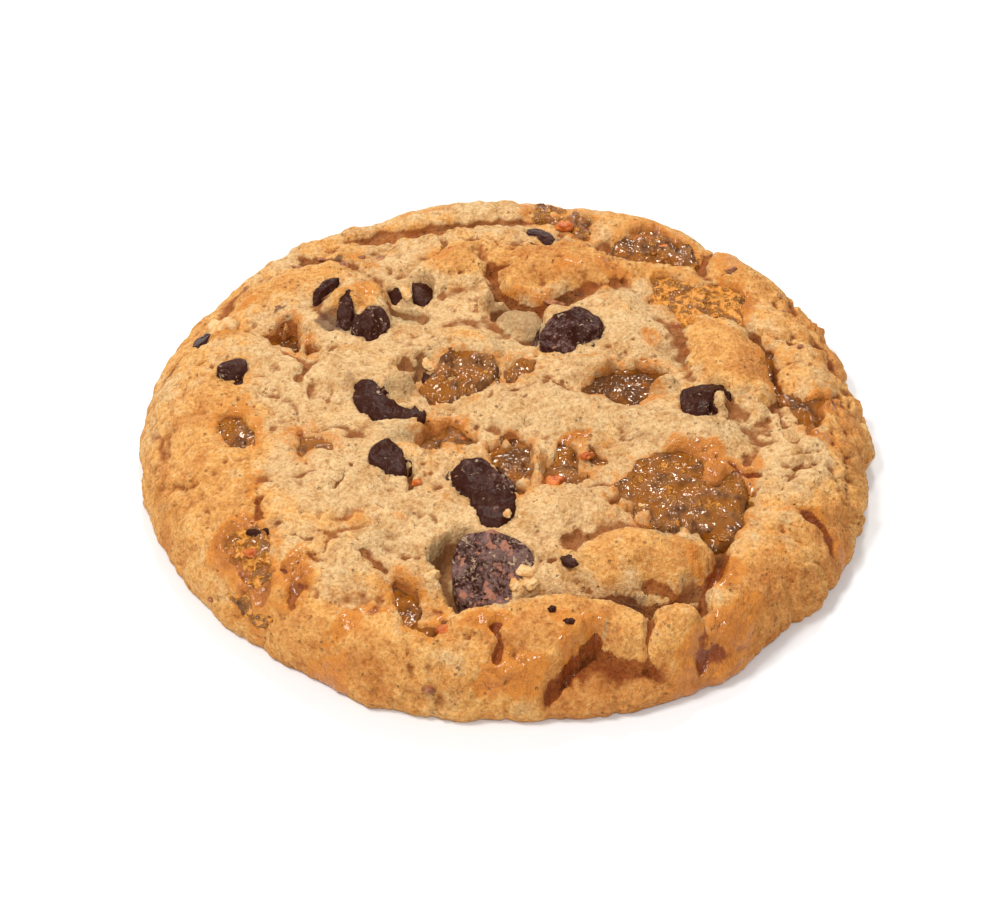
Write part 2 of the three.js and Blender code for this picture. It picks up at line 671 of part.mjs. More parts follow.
// A closed sheet over the cookie's whole outline, with its top at a given height over each point
function sheetSolid(heightAt) {
  const positions = [];
  const faces = [];
  const side = gridSteps + 1;
  for (let j = 0; j < side; j++) {
    for (let i = 0; i < side; i++) {
      const { ring, angle } = discPoint((2 * i) / gridSteps - 1, (2 * j) / gridSteps - 1);
      const reach = outlineRadius(angle) * ringShare(ring);
      const x = reach * Math.cos(angle);
      const y = reach * Math.sin(angle);
      positions.push(x, y, heightAt(x, y));
    }
  }
  for (let j = 0; j < gridSteps; j++) {
    for (let i = 0; i < gridSteps; i++) {
      const a = j * side + i;
      faces.push(a, a + 1, a + side + 1, a, a + side + 1, a + side);
    }
  }
  // The grid's border, counter-clockwise, is carried down and in to the flat base
  let loop = [];
  for (let i = 0; i < gridSteps; i++) loop.push(i);
  for (let j = 0; j < gridSteps; j++) loop.push(j * side + gridSteps);
  for (let i = gridSteps; i > 0; i--) loop.push(gridSteps * side + i);
  for (let j = gridSteps; j > 0; j--) loop.push(j * side);
  for (const turn of [Math.PI / 4, Math.PI / 2]) {
    const inset = baseInset * (1 - Math.cos(turn));
    const z = waistHeight * (1 - Math.sin(turn));
    const first = positions.length / 3;
    for (const k of loop) {
      const angle = Math.atan2(positions[3 * k + 1], positions[3 * k]);
      const reach = outlineRadius(angle) - inset;
      positions.push(reach * Math.cos(angle), reach * Math.sin(angle), z);
    }
    const next = loop.map((_, n) => first + n);
    loop.forEach((k, n) => {
      const m = (n + 1) % loop.length;
      faces.push(k, next[n], next[m], k, next[m], loop[m]);
    });
    loop = next;
  }
  const centre = positions.length / 3;
  positions.push(0, 0, 0);
  loop.forEach((k, n) => faces.push(centre, loop[(n + 1) % loop.length], k));
  return solidOf(positions, faces);
}

// What lies over a shelf: a block over its outline, less a lower sheet
function overShelf(shelf) {
  const outline = new THREE.Shape(shelf.outline.map((point) => new THREE.Vector2(...point)));
  const block = new THREE.ExtrudeGeometry(outline, { depth: blockHeight, bevelEnabled: false });
  block.deleteAttribute("normal");
  block.deleteAttribute("uv");
  block.translate(0, 0, -1);
  const { attributes, index } = mergeVertices(block, 1e-4);
  const lower = sheetSolid((x, y) => shelfHeight(shareOut(x, y), shelf.level));
  return solidOf(attributes.position.array, index.array).subtract(lower);
}

// The outline that a rubber band round some points takes, counter-clockwise
function bandAround(points) {
  const ordered = [...points].sort((a, b) => a[0] - b[0] || a[1] - b[1]);
  return [ordered, [...ordered].reverse()].flatMap((line) => {
    const side = [];
    for (const [x, y] of line) {
      while (side.length > 1) {
        const [ax, ay] = side[side.length - 2];
        const [bx, by] = side[side.length - 1];
        if ((bx - ax) * (y - ay) > (by - ay) * (x - ax)) break;
        side.pop();
      }
      side.push([x, y]);
    }
    return side.slice(0, -1);
  });
}

// How far an outline that bulges everywhere reaches from a point inside it, in one direction
function reachOf(outline, [cx, cy], angle) {
  const [dx, dy] = [Math.cos(angle), Math.sin(angle)];
  return outline.reduce((reach, [ax, ay], i) => {
    const [bx, by] = outline[(i + 1) % outline.length];
    const facing = (by - ay) * dx - (bx - ax) * dy;
    const distance = (by - ay) * (ax - cx) - (bx - ax) * (ay - cy);
    return facing > 1e-9 ? Math.min(reach, distance / facing) : reach;
  }, Infinity);
}

// The plane of the dough's level round a rim
function groundPlane(centre, rim) {
  const level = rim.map(([x, y]) => levelAt(x, y));
  const slopeOn = (axis) => {
    const away = rim.map((point) => point[axis] - centre[axis]);
    const mean = away.reduce((a, b) => a + b) / away.length;
    const spread = away.reduce((sum, a) => sum + (a - mean) ** 2, 0);
    return away.reduce((sum, a, i) => sum + (a - mean) * level[i], 0) / spread;
  };
  const middle = level.reduce((a, b) => a + b) / level.length;
  return { middle, slope: [slopeOn(0), slopeOn(1)] };
}

// Rings that shrink from an outline to its middle, on the plane of the dough's level. Each ring has a share
// of the outline's reach and a height over the edge's plane
function ringSolid(part, piece, margin, rings) {
  const outline = bandAround(part);
  const box = new THREE.Box2().setFromPoints(outline.map((p) => new THREE.Vector2(...p)));
  const centre = box.getCenter(new THREE.Vector2()).toArray();
  const length = outline.reduce((sum, [x, y], i) => {
    const [nextX, nextY] = outline[(i + 1) % outline.length];
    return sum + Math.hypot(nextX - x, nextY - y);
  }, 0);
  const columns = THREE.MathUtils.clamp(Math.round(length / facetLength), 9, 22);
  const spokes = Array.from({ length: columns }, (_, k) => {
    const angle = (2 * Math.PI * k) / columns;
    const reach = reachOf(outline, centre, angle) + margin;
    return [Math.cos(angle) * reach, Math.sin(angle) * reach];
  });
  const { middle, slope } = groundPlane(centre, spokes.map(([x, y]) => [centre[0] + x, centre[1] + y]));
  const lean = [slope[0] + piece.lean[0], slope[1] + piece.lean[1]];
  const positions = [];
  for (const { share, height } of rings) {
    for (const [x, y] of spokes) {
      const z = middle - piece.edge + height + share * (lean[0] * x + lean[1] * y);
      positions.push(centre[0] + share * x, centre[1] + share * y, z);
    }
  }
  const faces = [];
  const top = rings.length * columns;
  const last = top - columns;
  for (let k = 0; k < columns; k++) {
    const next = (k + 1) % columns;
    faces.push(top, k, next, top + 1, last + next, last + k);
    for (let row = 0; row < last; row += columns) {
      const [a, b, c, d] = [row + k, row + next, row + columns + k, row + columns + next];
      faces.push(a, c, d, a, d, b);
    }
  }
  positions.push(...centre, middle - piece.edge + rings[0].crown);
  positions.push(...centre, middle - piece.edge + rings[rings.length - 1].crown);
  return solidOf(positions, faces);
}

// Height of a cushion over its edge's plane at a share of its reach
function cushionHeight(share, thickness, power) {
  return thickness * (1 - share ** power) ** (1 / power);
}

function pieceSolid(piece) {
  const { rise, depth, power } = piece;
  const rings = [
    { share: 0.5, height: cushionHeight(0.5, rise, power), crown: rise },
    { share: 0.86, height: cushionHeight(0.86, rise, power) },
    { share: 1, height: 0 },
    { share: 0.75, height: -cushionHeight(0.75, depth, power), crown: -depth },
  ];
  return piece.parts.map((part) => ringSolid(part, piece, 0, rings)).reduce((a, b) => a.add(b));
}

// The well that a piece is set in: its underside with a clearance, and everything above its edge
function wellSolid(piece) {
  const depth = piece.depth + pocketGap;
  const rings = [
    { share: 1, height: wellTop, crown: wellTop },
    { share: 1, height: 0 },
    { share: 0.75, height: -cushionHeight(0.75, depth, piece.power), crown: -depth },
  ];
  return piece.parts.map((part) => ringSolid(part, piece, pocketGap, rings)).reduce((a, b) => a.add(b));
}

function solidOf(positions, faces) {
  return new wasm.Manifold(
    new wasm.Mesh({
      numProp: 3,
      vertProperties: new Float32Array(positions),
      triVerts: new Uint32Array(faces),
    }),
  );
}

// The largest body of a solid, without the scraps that a cut can leave
function largestBody(solid) {
  return solid.decompose().reduce((a, b) => (b.volume() > a.volume() ? b : a));
}

const cookie = new THREE.Group();

function addPiece(name, solid, look) {
  const { vertProperties, triVerts } = largestBody(solid).getMesh();
  const geometry = new THREE.BufferGeometry();
  geometry.setAttribute("position", new THREE.BufferAttribute(vertProperties, 3));
  geometry.setIndex(new THREE.BufferAttribute(triVerts, 1));
  geometry.computeVertexNormals();
  const mesh = new THREE.Mesh(geometry, new THREE.MeshStandardMaterial(look));
  mesh.name = name;
  cookie.add(mesh);
}

let dough = sheetSolid(doughHeight);
for (const shelf of shelves) dough = dough.subtract(overShelf(shelf));
let taken = null; // the wells of the pieces placed so far
for (const [table, look] of [[chips, chipLook], [toffee, toffeeLook]]) {
  for (const [name, piece] of Object.entries(table)) {
    const solid = pieceSolid(piece);
    addPiece(name, taken ? solid.subtract(taken) : solid, look);
    const well = wellSolid(piece);
    taken = taken ? taken.add(well) : well;
    dough = dough.subtract(well);
  }
}
addPiece("dough", dough, doughLook);

// The origin is the middle of the base
const bounds = new THREE.Box3().setFromObject(cookie);
const middle = bounds.getCenter(new THREE.Vector3());
for (const mesh of cookie.children) mesh.geometry.translate(-middle.x, -middle.y, -bounds.min.z);

export default cookie;
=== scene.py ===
import math

import bpy
import numpy as np
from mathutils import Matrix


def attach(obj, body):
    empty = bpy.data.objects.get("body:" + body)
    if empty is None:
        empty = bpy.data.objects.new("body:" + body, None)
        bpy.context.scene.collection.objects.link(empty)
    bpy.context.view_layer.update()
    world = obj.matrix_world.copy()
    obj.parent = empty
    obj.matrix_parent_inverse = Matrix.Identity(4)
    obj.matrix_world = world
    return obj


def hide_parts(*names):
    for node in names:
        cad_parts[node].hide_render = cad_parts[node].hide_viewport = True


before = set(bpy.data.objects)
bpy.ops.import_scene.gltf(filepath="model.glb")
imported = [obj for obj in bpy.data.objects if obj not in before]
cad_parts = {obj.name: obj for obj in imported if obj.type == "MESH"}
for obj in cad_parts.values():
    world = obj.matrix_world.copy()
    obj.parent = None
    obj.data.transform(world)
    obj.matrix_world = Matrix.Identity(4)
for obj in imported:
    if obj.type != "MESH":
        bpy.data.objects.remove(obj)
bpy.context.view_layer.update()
mm = 0.001
print("frame loaded:", len(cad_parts), "nodes")

# Noise and falloff, shared by every piece

latticeSide = 48


def grain(points, size, seed):
    # Smooth noise from -1 to 1: random values on a cubic lattice of the given spacing in mm, blended between
    # the eight corners round each point by smoothed shares
    table = np.random.default_rng(seed).uniform(-1, 1, (latticeSide,) * 3)
    place = np.asarray(points, float) / size
    cell = np.floor(place).astype(int)
    part = place - cell
    part = part * part * (3 - 2 * part)
    total = 0.0
    for dx in (0, 1):
        for dy in (0, 1):
            for dz in (0, 1):
                corner = (cell + (dx, dy, dz)) % latticeSide
                share = np.abs(1 - dx - part[..., 0]) * np.abs(1 - dy - part[..., 1]) * np.abs(1 - dz - part[..., 2])
                total = total + share * table[corner[..., 0], corner[..., 1], corner[..., 2]]
    return total


def layered(points, size, layers, seed):
    # Noise on noise: each further layer has half the spacing and half the strength
    return sum(grain(points, size / 2**k, seed + k) / 2**k for k in range(layers))


def flat(x, y):
    # Points at height 0, for noise that takes no notice of the height
    return np.stack([x, y, np.zeros_like(x)], -1)


def smooth(value, start, end):
    # 0 at start, 1 at end, with level ends between
    t = np.clip((value - start) / (end - start), 0, 1)
    return t * t * (3 - 2 * t)


def rounded(points, closed, rounds=2):
    # A drawn line with its corners cut off, a quarter from each end of each side, as often as asked
    points = np.array(points, float)
    for _ in range(rounds):
        after = np.roll(points, -1, 0) if closed else points[1:]
        before = points if closed else points[:-1]
        cut = np.stack([before * 0.75 + after * 0.25, before * 0.25 + after * 0.75], 1).reshape(-1, 2)
        points = cut if closed else np.concatenate([points[:1], cut, points[-1:]])
    return points


def lineDistance(x, y, path, closed):
    # Nearest distance to a line of straight sides, the side on which a point lies (positive to the left),
    # and whether the point is inside, by counting the sides that cross a ray along +X
    ends = np.concatenate([path[1:], path[:1]]) if closed else path[1:]
    starts = path if closed else path[:-1]
    nearest = np.full(x.shape, 1e9)
    left = np.zeros(x.shape)
    inside = np.zeros(x.shape, bool)
    for (ax, ay), (bx, by) in zip(starts, ends):
        span = (bx - ax) ** 2 + (by - ay) ** 2
        t = np.clip(((x - ax) * (bx - ax) + (y - ay) * (by - ay)) / span, 0, 1)
        away = np.hypot(x - ax - t * (bx - ax), y - ay - t * (by - ay))
        closer = away < nearest
        nearest = np.where(closer, away, nearest)
        cross = (bx - ax) * (y - ay) - (by - ay) * (x - ax)
        left = np.where(closer, np.sign(cross), left)
        if closed and ay != by:
            crosses = ((ay > y) != (by > y)) & (x < (bx - ax) * (y - ay) / (by - ay) + ax)
            inside ^= crosses
    return nearest, left, inside


def outlineDistance(x, y, outline):
    # Distance to a closed outline in mm, negative inside it; points far away are left at 9
    shape = rounded(outline, True)
    low, high = shape.min(0) - 4, shape.max(0) + 4
    near = (x > low[0]) & (x < high[0]) & (y > low[1]) & (y < high[1])
    result = np.full(x.shape, 9.0)
    if near.any():
        away, _, inside = lineDistance(x[near], y[near], shape, True)
        result[near] = np.where(inside, -away, away)
    return result


def ovalShare(x, y, centreX, centreY, length, width, turn, wave=0.07):
    # Distance from an oval's centre as a share of its edge, whose radius swings by two sine waves
    dx, dy = x - centreX, y - centreY
    c, s = math.cos(math.radians(turn)), math.sin(math.radians(turn))
    along, across = 2 * (dx * c + dy * s) / length, 2 * (dy * c - dx * s) / width
    angle = np.arctan2(across, along)
    phase = centreX + 2 * centreY
    edge = 1 + wave * (np.sin(2 * angle + phase) + 0.6 * np.sin(5 * angle - phase))
    return np.hypot(along, across) / edge


# The dough: one closed surface. Lengths are in mm, with +X right and +Y away from the viewer

dough = {
    "gridSteps": 288,
    "radius": 54.4,
    "crown": 10.7,  # the dome's height at its middle, below the lobes
    "domePower": 7.0,  # how flat the dome is before its rim falls
    "waist": 1.8,  # where the edge reaches furthest out
    "baseInset": 1.2,
    "creaseBlend": 0.4,  # how softly two lobes meet
    "pocketWall": 1.1,  # how far a pocket's wall runs in
    "rimCrowding": 0.1,  # smaller brings more of the grid's rings to the edge
    "stir": [(1.0, 5), (0.4, 2)],  # how far drawn shapes wander, and over what length
    "nibble": [(0.3, 1.5), (0.16, 0.7)],  # the same for the finer edges of lines and pockets
    "tear": [(0.7, 2.6), (0.3, 1.1)],  # and for the toffee's pockets alone
    "lumpDepth": 0.22,
    "crumbDepth": 0.28,
    "poreDepth": 1.7,
    "splitDepth": 0.5,  # of hairline splits
    "creaseDepth": 0.8,  # of the creases between small lumps
}

# Where the outline swells or is notched: angle, width in degrees, distance out
rimSwells = [
    (12, 3, -1.0), (0, 9, 0.3), (40, 10, 0.5), (51.5, 2, -1.0), (62, 10, 0.6), (90, 50, 0.7), (122, 12, -1.0),
    (157, 16, 0.8), (178, 14, 0.2), (222, 18, -0.3), (222, 5, 0.5), (249, 6, 1.2), (259, 7, 0.9), (268, 18, 1.2),
    (288, 10, 1.7), (303, 9, 2.3), (328, 12, 0.9),
]

# Lobes: centre, length, width, turn, rise over the dome, roundness (0.5 steep sides, 1 gentle)
lobes = {
    "whole middle": (0, 0, 90, 86, 0, 2.6, 0.4),
    "left": (-41.5, 2, 32, 23, 78, 3.0, 0.6),
    "left field": (-38, -18, 40, 30, 90, 2.6, 0.8),
    "middle field": (-25, -19, 30, 26, 0, 3.5, 0.8),
    "left of middle": (-26, 5, 17, 14, 60, 3.6, 0.7),
    "mound": (-22.6, 19.8, 12.5, 11, 40, 4.8, 0.5),
    "far left": (-31, 28, 30, 20, 40, 3.0, 0.7),
    "far left rim": (-31, 41, 34, 13, 38, 3.6, 0.7),
    "far rim": (-7, 50, 48, 11, 4, 3.1, 0.6),
    "far slope": (-5, 36, 36, 14, 8, 3.3, 0.8),
    "back left": (-9, 30, 15, 13, 20, 4.3, 0.6),
    "back": (9, 29.8, 26, 11, -6, 4.3, 0.5),
    "far right rim": (21, 45.5, 32, 14, -26, 3.2, 0.6),
    "right back rim": (36, 33, 20, 13, 125, 3.4, 0.6),
    "behind crown": (17, 18.6, 18, 13, -30, 4.2, 0.5),
    "centre mound": (-6.3, 9.8, 14, 13.5, 20, 4.7, 0.5),
    "centre right": (11.8, 5.4, 12, 7, 10, 4.4, 0.5),
    "big right": (32.8, 6.5, 23, 13, 112, 4.9, 0.45),
    "right rim back": (43.5, 13, 26, 12, 112, 3.4, 0.6),
    "right rim": (45, -14, 42, 19, 80, 3.4, 0.7),
    "middle ridge": (8, -4.8, 37, 12, -4, 4.4, 0.5),
    "right of middle": (27, -8.5, 23, 11, -8, 4.2, 0.7),
    "right front rim": (37, -34, 34, 19, 50, 3.0, 0.8),
    "below pits": (11, -26, 25, 12, 2, 4.2, 0.5),
    "over the fold": (19, -34.5, 23, 11, 4, 4.4, 0.5),
    "left front": (-24, -33, 28, 18, -20, 3.0, 0.8),
    "front left rim": (-27, -43, 38, 18, -30, 2.6, 0.9),
    "front ridge": (6.5, -48, 32, 12, 0, 3.8, 0.4),
    "ridge foot": (-1, -53.2, 22, 9, 0, 3.6, 0.6),
    "front ridge left": (-13, -50, 24, 9, -14, 3.4, 0.6),
    "front ridge right": (23.4, -46.2, 10, 11, 5, 3.7, 0.5),
}

# Dips between the lobes: centre, length, width, turn, depth
dips = [
    (-14.5, 24, 9, 8, 0, 1.6), (1.6, 17, 9, 11, 20, 1.6), (-13, 5.5, 5, 12, 15, 1.6), (17, 2, 17, 10, 30, 1.4),
    (39.5, 4, 7, 22, -8, 1.8), (1, -41, 40, 6, 2, 1.4), (8, -38.5, 12, 5, 0, 1.0), (18, 38, 40, 7, -18, 1.4),
    (-33, 14, 12, 8, -40, 1.0), (5, 23, 16, 4, -8, 1.0), (-14, 42, 30, 5, 12, 0.7), (25, -21, 22, 16, -18, 0.9),
    (-9, -9.5, 12, 6, -30, 1.0), (29, 22, 18, 12, 0, 1.0), (-17.5, -35, 5, 10, -30, 0.8), (26, 13, 5, 10, 20, 1.0),
    (-22, -8.5, 10, 4, -20, 0.7), (31, -31, 8, 14, -20, 0.8), (-33, 33, 14, 5, 30, 0.7), (9, 21.5, 8, 4, 0, 0.8),
]

# Lips of dough over the chips and between two pits, in the same columns
lips = {
    "on the hooked chip": (-15.8, 0.9, 8.4, 6.0, 118, 5.0, 0.8),
    "behind the matte chip": (-14.6, -9, 9, 5, 8, 4.2, 0.8),
    "finger": (4.8, -16.2, 13, 3.6, 95, 4.2, 0.8),
    "beside the right pit": (23.8, 1.4, 5.6, 3.4, -10, 4.4, 0.8),
    "on the right chip": (31.4, -3.6, 8.5, 2.9, 100, 4.8, 0.8),
    "tuft": (-3.2, 20.6, 5.6, 3.4, 70, 4.8, 0.8),
    "raw bubble": (2.1, 15.9, 8.4, 9.0, 20, 3.7, 0.7),
}

# Folds, where one layer of dough ends on another: the line, with the raised layer on its left, the step,
# and how far back the raised layer falls away to each side
folds = {
    "left lobe": ([(-30, 2.5), (-31, 7.5), (-35.5, 10.5), (-36.3, 13.4), (-40.5, 15.5)], 1.7, 5),
    "mound top": ([(-17.6, 17), (-18.2, 21.9), (-20.8, 24.2), (-23.5, 23), (-27.8, 19.8)], 1.4, 3),
    "back lobe foot": ([(-3, 26), (-1, 24.9), (1, 24), (3.1, 23.2), (6, 22.3), (9, 24), (12.6, 24.7)], 1.8, 4),
    "in front of the far toffee": ([(27, 33), (21, 31.6), (18, 32.7), (15, 34.5), (12.4, 36.7), (8.5, 37)], 1.6, 4),
    "big right lobe": ([(40, -2), (39.8, 4), (39.1, 8.5), (37.6, 12.3), (35.5, 16.4), (31.5, 17.8)], 2.2, 4),
    "front ridge": ([(20, -45.4), (17, -43.4), (14.4, -41.8), (11.6, -42.2), (8.1, -42), (5.4, -41), (3.3, -41.4),
        (-0.9, -43.4), (-5, -45), (-7.8, -46.8)], 1.4, 3),
    "over the dark pocket": ([(3.5, -39), (6, -39.6), (9, -39.6), (12, -41), (16.5, -39.5), (20, -43)], 1.8, 4),
    "under the centre mound": ([(-12, 8.5), (-8.5, 10.4), (-6.6, 8.8), (-4.4, 8), (-1, 7.4), (0, 9.5)], 0.8, 3),
    "far crease": ([(-24, 35), (-16, 39), (-10.7, 41.3), (-3, 44), (-0.5, 47.5)], 0.5, 4),
}

# Cracks: the line, half width and depth
cracks = {
    "to the notch": ([(30.6, 31.5), (30.8, 34.6), (33.5, 39), (36, 42)], 0.9, 2.0),
    "back lobe": ([(-2.6, 29.5), (-1.6, 26), (-0.9, 23.6), (4, 22), (9, 23)], 0.9, 2.0),
    "far left": ([(-32, 35.6), (-31, 33.4), (-28, 33.9), (-23.8, 31.3)], 1.0, 1.4),
    "left field": ([(-28.5, 6.9), (-26, 11.2)], 0.5, 0.6),
    "below the left lobe": ([(-31, 3), (-29.5, 6.1)], 0.6, 0.8),
    "beside the matte chip": ([(-24.5, -21.9), (-23.1, -19.7), (-22, -17.1)], 0.32, 1.2),
    "tail of the matte chip": ([(-14.4, -16.5), (-13.6, -20.7)], 0.6, 2.2),
    "to the front toffee": ([(-19.8, -33.5), (-18.1, -35.9), (-16.7, -37.5), (-15, -39.6)], 0.8, 1.2),
    "upright on the ridge": ([(20, -43.1), (20.1, -46), (19.4, -48.9), (19.6, -50)], 0.42, 2.2),
    "ridge to the right": ([(26.5, -54), (26.8, -50), (27.5, -46), (27, -41.5)], 0.8, 1.8),
    "down to the front": ([(29.2, -28), (31, -33.7), (28, -38), (27, -41.5)], 1.1, 2.6),
    "right rim": ([(43.5, -23.9), (46.1, -25.5), (48.5, -29)], 0.9, 1.8),
    "right of the pool": ([(33, -14.6), (34.9, -16.3), (37, -16.8)], 0.5, 1.2),
    "right slope": ([(40.6, -14.2), (44, -12.9)], 0.4, 0.7),
    "ridge left": ([(-1.4, -47.8), (-0.8, -50), (-1.4, -52)], 0.6, 1.8),
    "front left": ([(-20.8, -54.7), (-20.2, -51.5)], 0.45, 1.0),
    "by the purple bit": ([(-13.4, -50.5), (-12.6, -53), (-14, -55)], 0.5, 1.0),
    "left edge": ([(-53.6, -9.5), (-52.4, -12.6)], 0.5, 1.2),
    "left stain": ([(-35.1, -22.6), (-35, -26.1)], 0.6, 1.4),
    "behind the front log": ([(3.2, -58), (6.4, -53.9), (9.8, -50.2), (12.1, -47.4), (13.2, -48)], 0.6, 3.4),
    "over the front log": ([(13, -48.2), (14.6, -49), (16.3, -49.7), (18.4, -49.9), (20.8, -49.8), (23.3, -51.4),
        (24.8, -55)], 0.6, 2.2),
    "in front of the field": ([(3.4, -40.4), (6, -41.2), (9, -41.4), (12, -42.2), (16.5, -41), (20, -43),
        (24, -41.5)], 0.9, 4.0),
    "beside the big lobe": ([(31, 19.5), (35.8, 17.6), (38.6, 12.5), (40, 8.5), (40.6, 4)], 0.8, 1.8),
}

# Pockets that show a chip: the outline that shows, and the depth
chipPockets = {
    "chip_left_edge": ([(-47.9, 14.6), (-47.3, 17.2), (-45.6, 18.9), (-44.4, 17), (-44.6, 14), (-46.4, 12.6)], 1.6),
    "chip_oval": ([(-43.4, 4.2), (-42.8, 6.4), (-41, 7.5), (-38.9, 7.2), (-37.9, 5.2), (-39.2, 3),
        (-41.4, 2.2)], 1.6),
    "chip_lobe_left": ([(-30, 23), (-28.8, 25.1), (-27.3, 26.6), (-25, 26.5), (-26.7, 24.2), (-28, 23),
        (-28.6, 20.6), (-29.7, 21)], 2.4),
    "chip_lobe_front": ([(-26, 17.8), (-24.9, 20), (-23.6, 21.3), (-23.1, 18.4), (-22.8, 15.4), (-24.4, 14.2),
        (-25.9, 15.8)], 2.2),
    "chip_lobe_front right": ([(-22.4, 16), (-20.9, 18), (-19.3, 18), (-17, 16.2), (-17.8, 14.4), (-19.4, 12.3),
        (-20.9, 11.7), (-22.1, 13.2)], 2.2),
    "chip_lobe_front middle": ([(-23.6, 13.2), (-23, 16.4), (-21.6, 16.6), (-21, 12.6)], 2.2),
    "chip_shade": ([(-15.2, 26.8), (-13.7, 27.9), (-11.8, 27.6), (-11, 25.5), (-11.5, 22.4), (-12.7, 21.4),
        (-14, 22.4), (-14.6, 24.6)], 4.5),
    "chip_shade left": ([(-18.9, 24.6), (-18, 27), (-16.6, 26.4), (-15.9, 24), (-16.6, 21.8), (-18.4, 22.6)], 3.4),
    "chip_back": ([(3, 39.6), (3.8, 41.2), (5.9, 42.2), (7.5, 39.6), (8, 37), (7.1, 35.4), (5.3, 36.5),
        (3.4, 38.4)], 2.0),
    "chip_crown": ([(5.2, 9.2), (4.8, 12.2), (5.9, 15), (7.5, 17), (9.6, 18.3), (11.9, 18.2), (14, 16.5),
        (15.3, 14.2), (13.8, 12.8), (12.1, 12), (10.5, 9.6), (8.9, 9), (7.4, 10.4), (6.2, 9.2)], 2.6),
    "chip_hook": ([(-22.9, -1.3), (-22.4, 1.9), (-20.9, 3.1), (-19.3, 2.3), (-18, -1), (-16.2, -3.5), (-14.2, -3.7),
        (-12.8, -2.4), (-12.3, -5), (-14.1, -6.4), (-16.8, -6.6), (-18.8, -7.3), (-21.3, -4.7)], 2.4),
    "chip_matte": ([(-19.8, -15.1), (-19.4, -13.2), (-18.6, -11.8), (-17, -10.6), (-15.5, -11.4), (-14.7, -13.6),
        (-14.2, -16.6), (-14.6, -18.9), (-16.7, -19.2), (-18.5, -18.2), (-19.5, -16.9)], 2.0),
    "chip_tall": ([(-8, -19), (-7.2, -16.7), (-5.3, -15), (-3.3, -16), (-1.4, -18), (0.1, -20), (1.4, -22.9),
        (1.5, -25), (0.7, -27.4), (-0.8, -29.2), (-3.0, -29), (-4.5, -26.6), (-4.7, -23.5), (-6.3, -21.9),
        (-7.6, -21)], 3.4),
    "chunk_front": ([(-3.8, -29.6), (-6.2, -28.2), (-8.2, -29.2), (-9.6, -31), (-10.6, -33.8), (-10.4, -37),
        (-9.3, -40), (-8, -42), (-5.5, -43.8), (-2.5, -43.6), (0.2, -42.4), (1.6, -39.2), (3.8, -37), (4.2, -34),
        (2, -32.2), (-0.4, -30)], 4.6),
    "chip_right_hook": ([(25.3, -1.5), (27, 0.6), (28.9, 1.4), (30.8, 1.8), (32.5, 1.1), (33.5, -0.7), (33.2, -2.7),
        (32.2, -0.9), (31, -0.5), (30.4, -2.5), (29.9, -5.2), (28.2, -6.9), (26.8, -5.6), (26.2, -3.8)], 2.6),
}

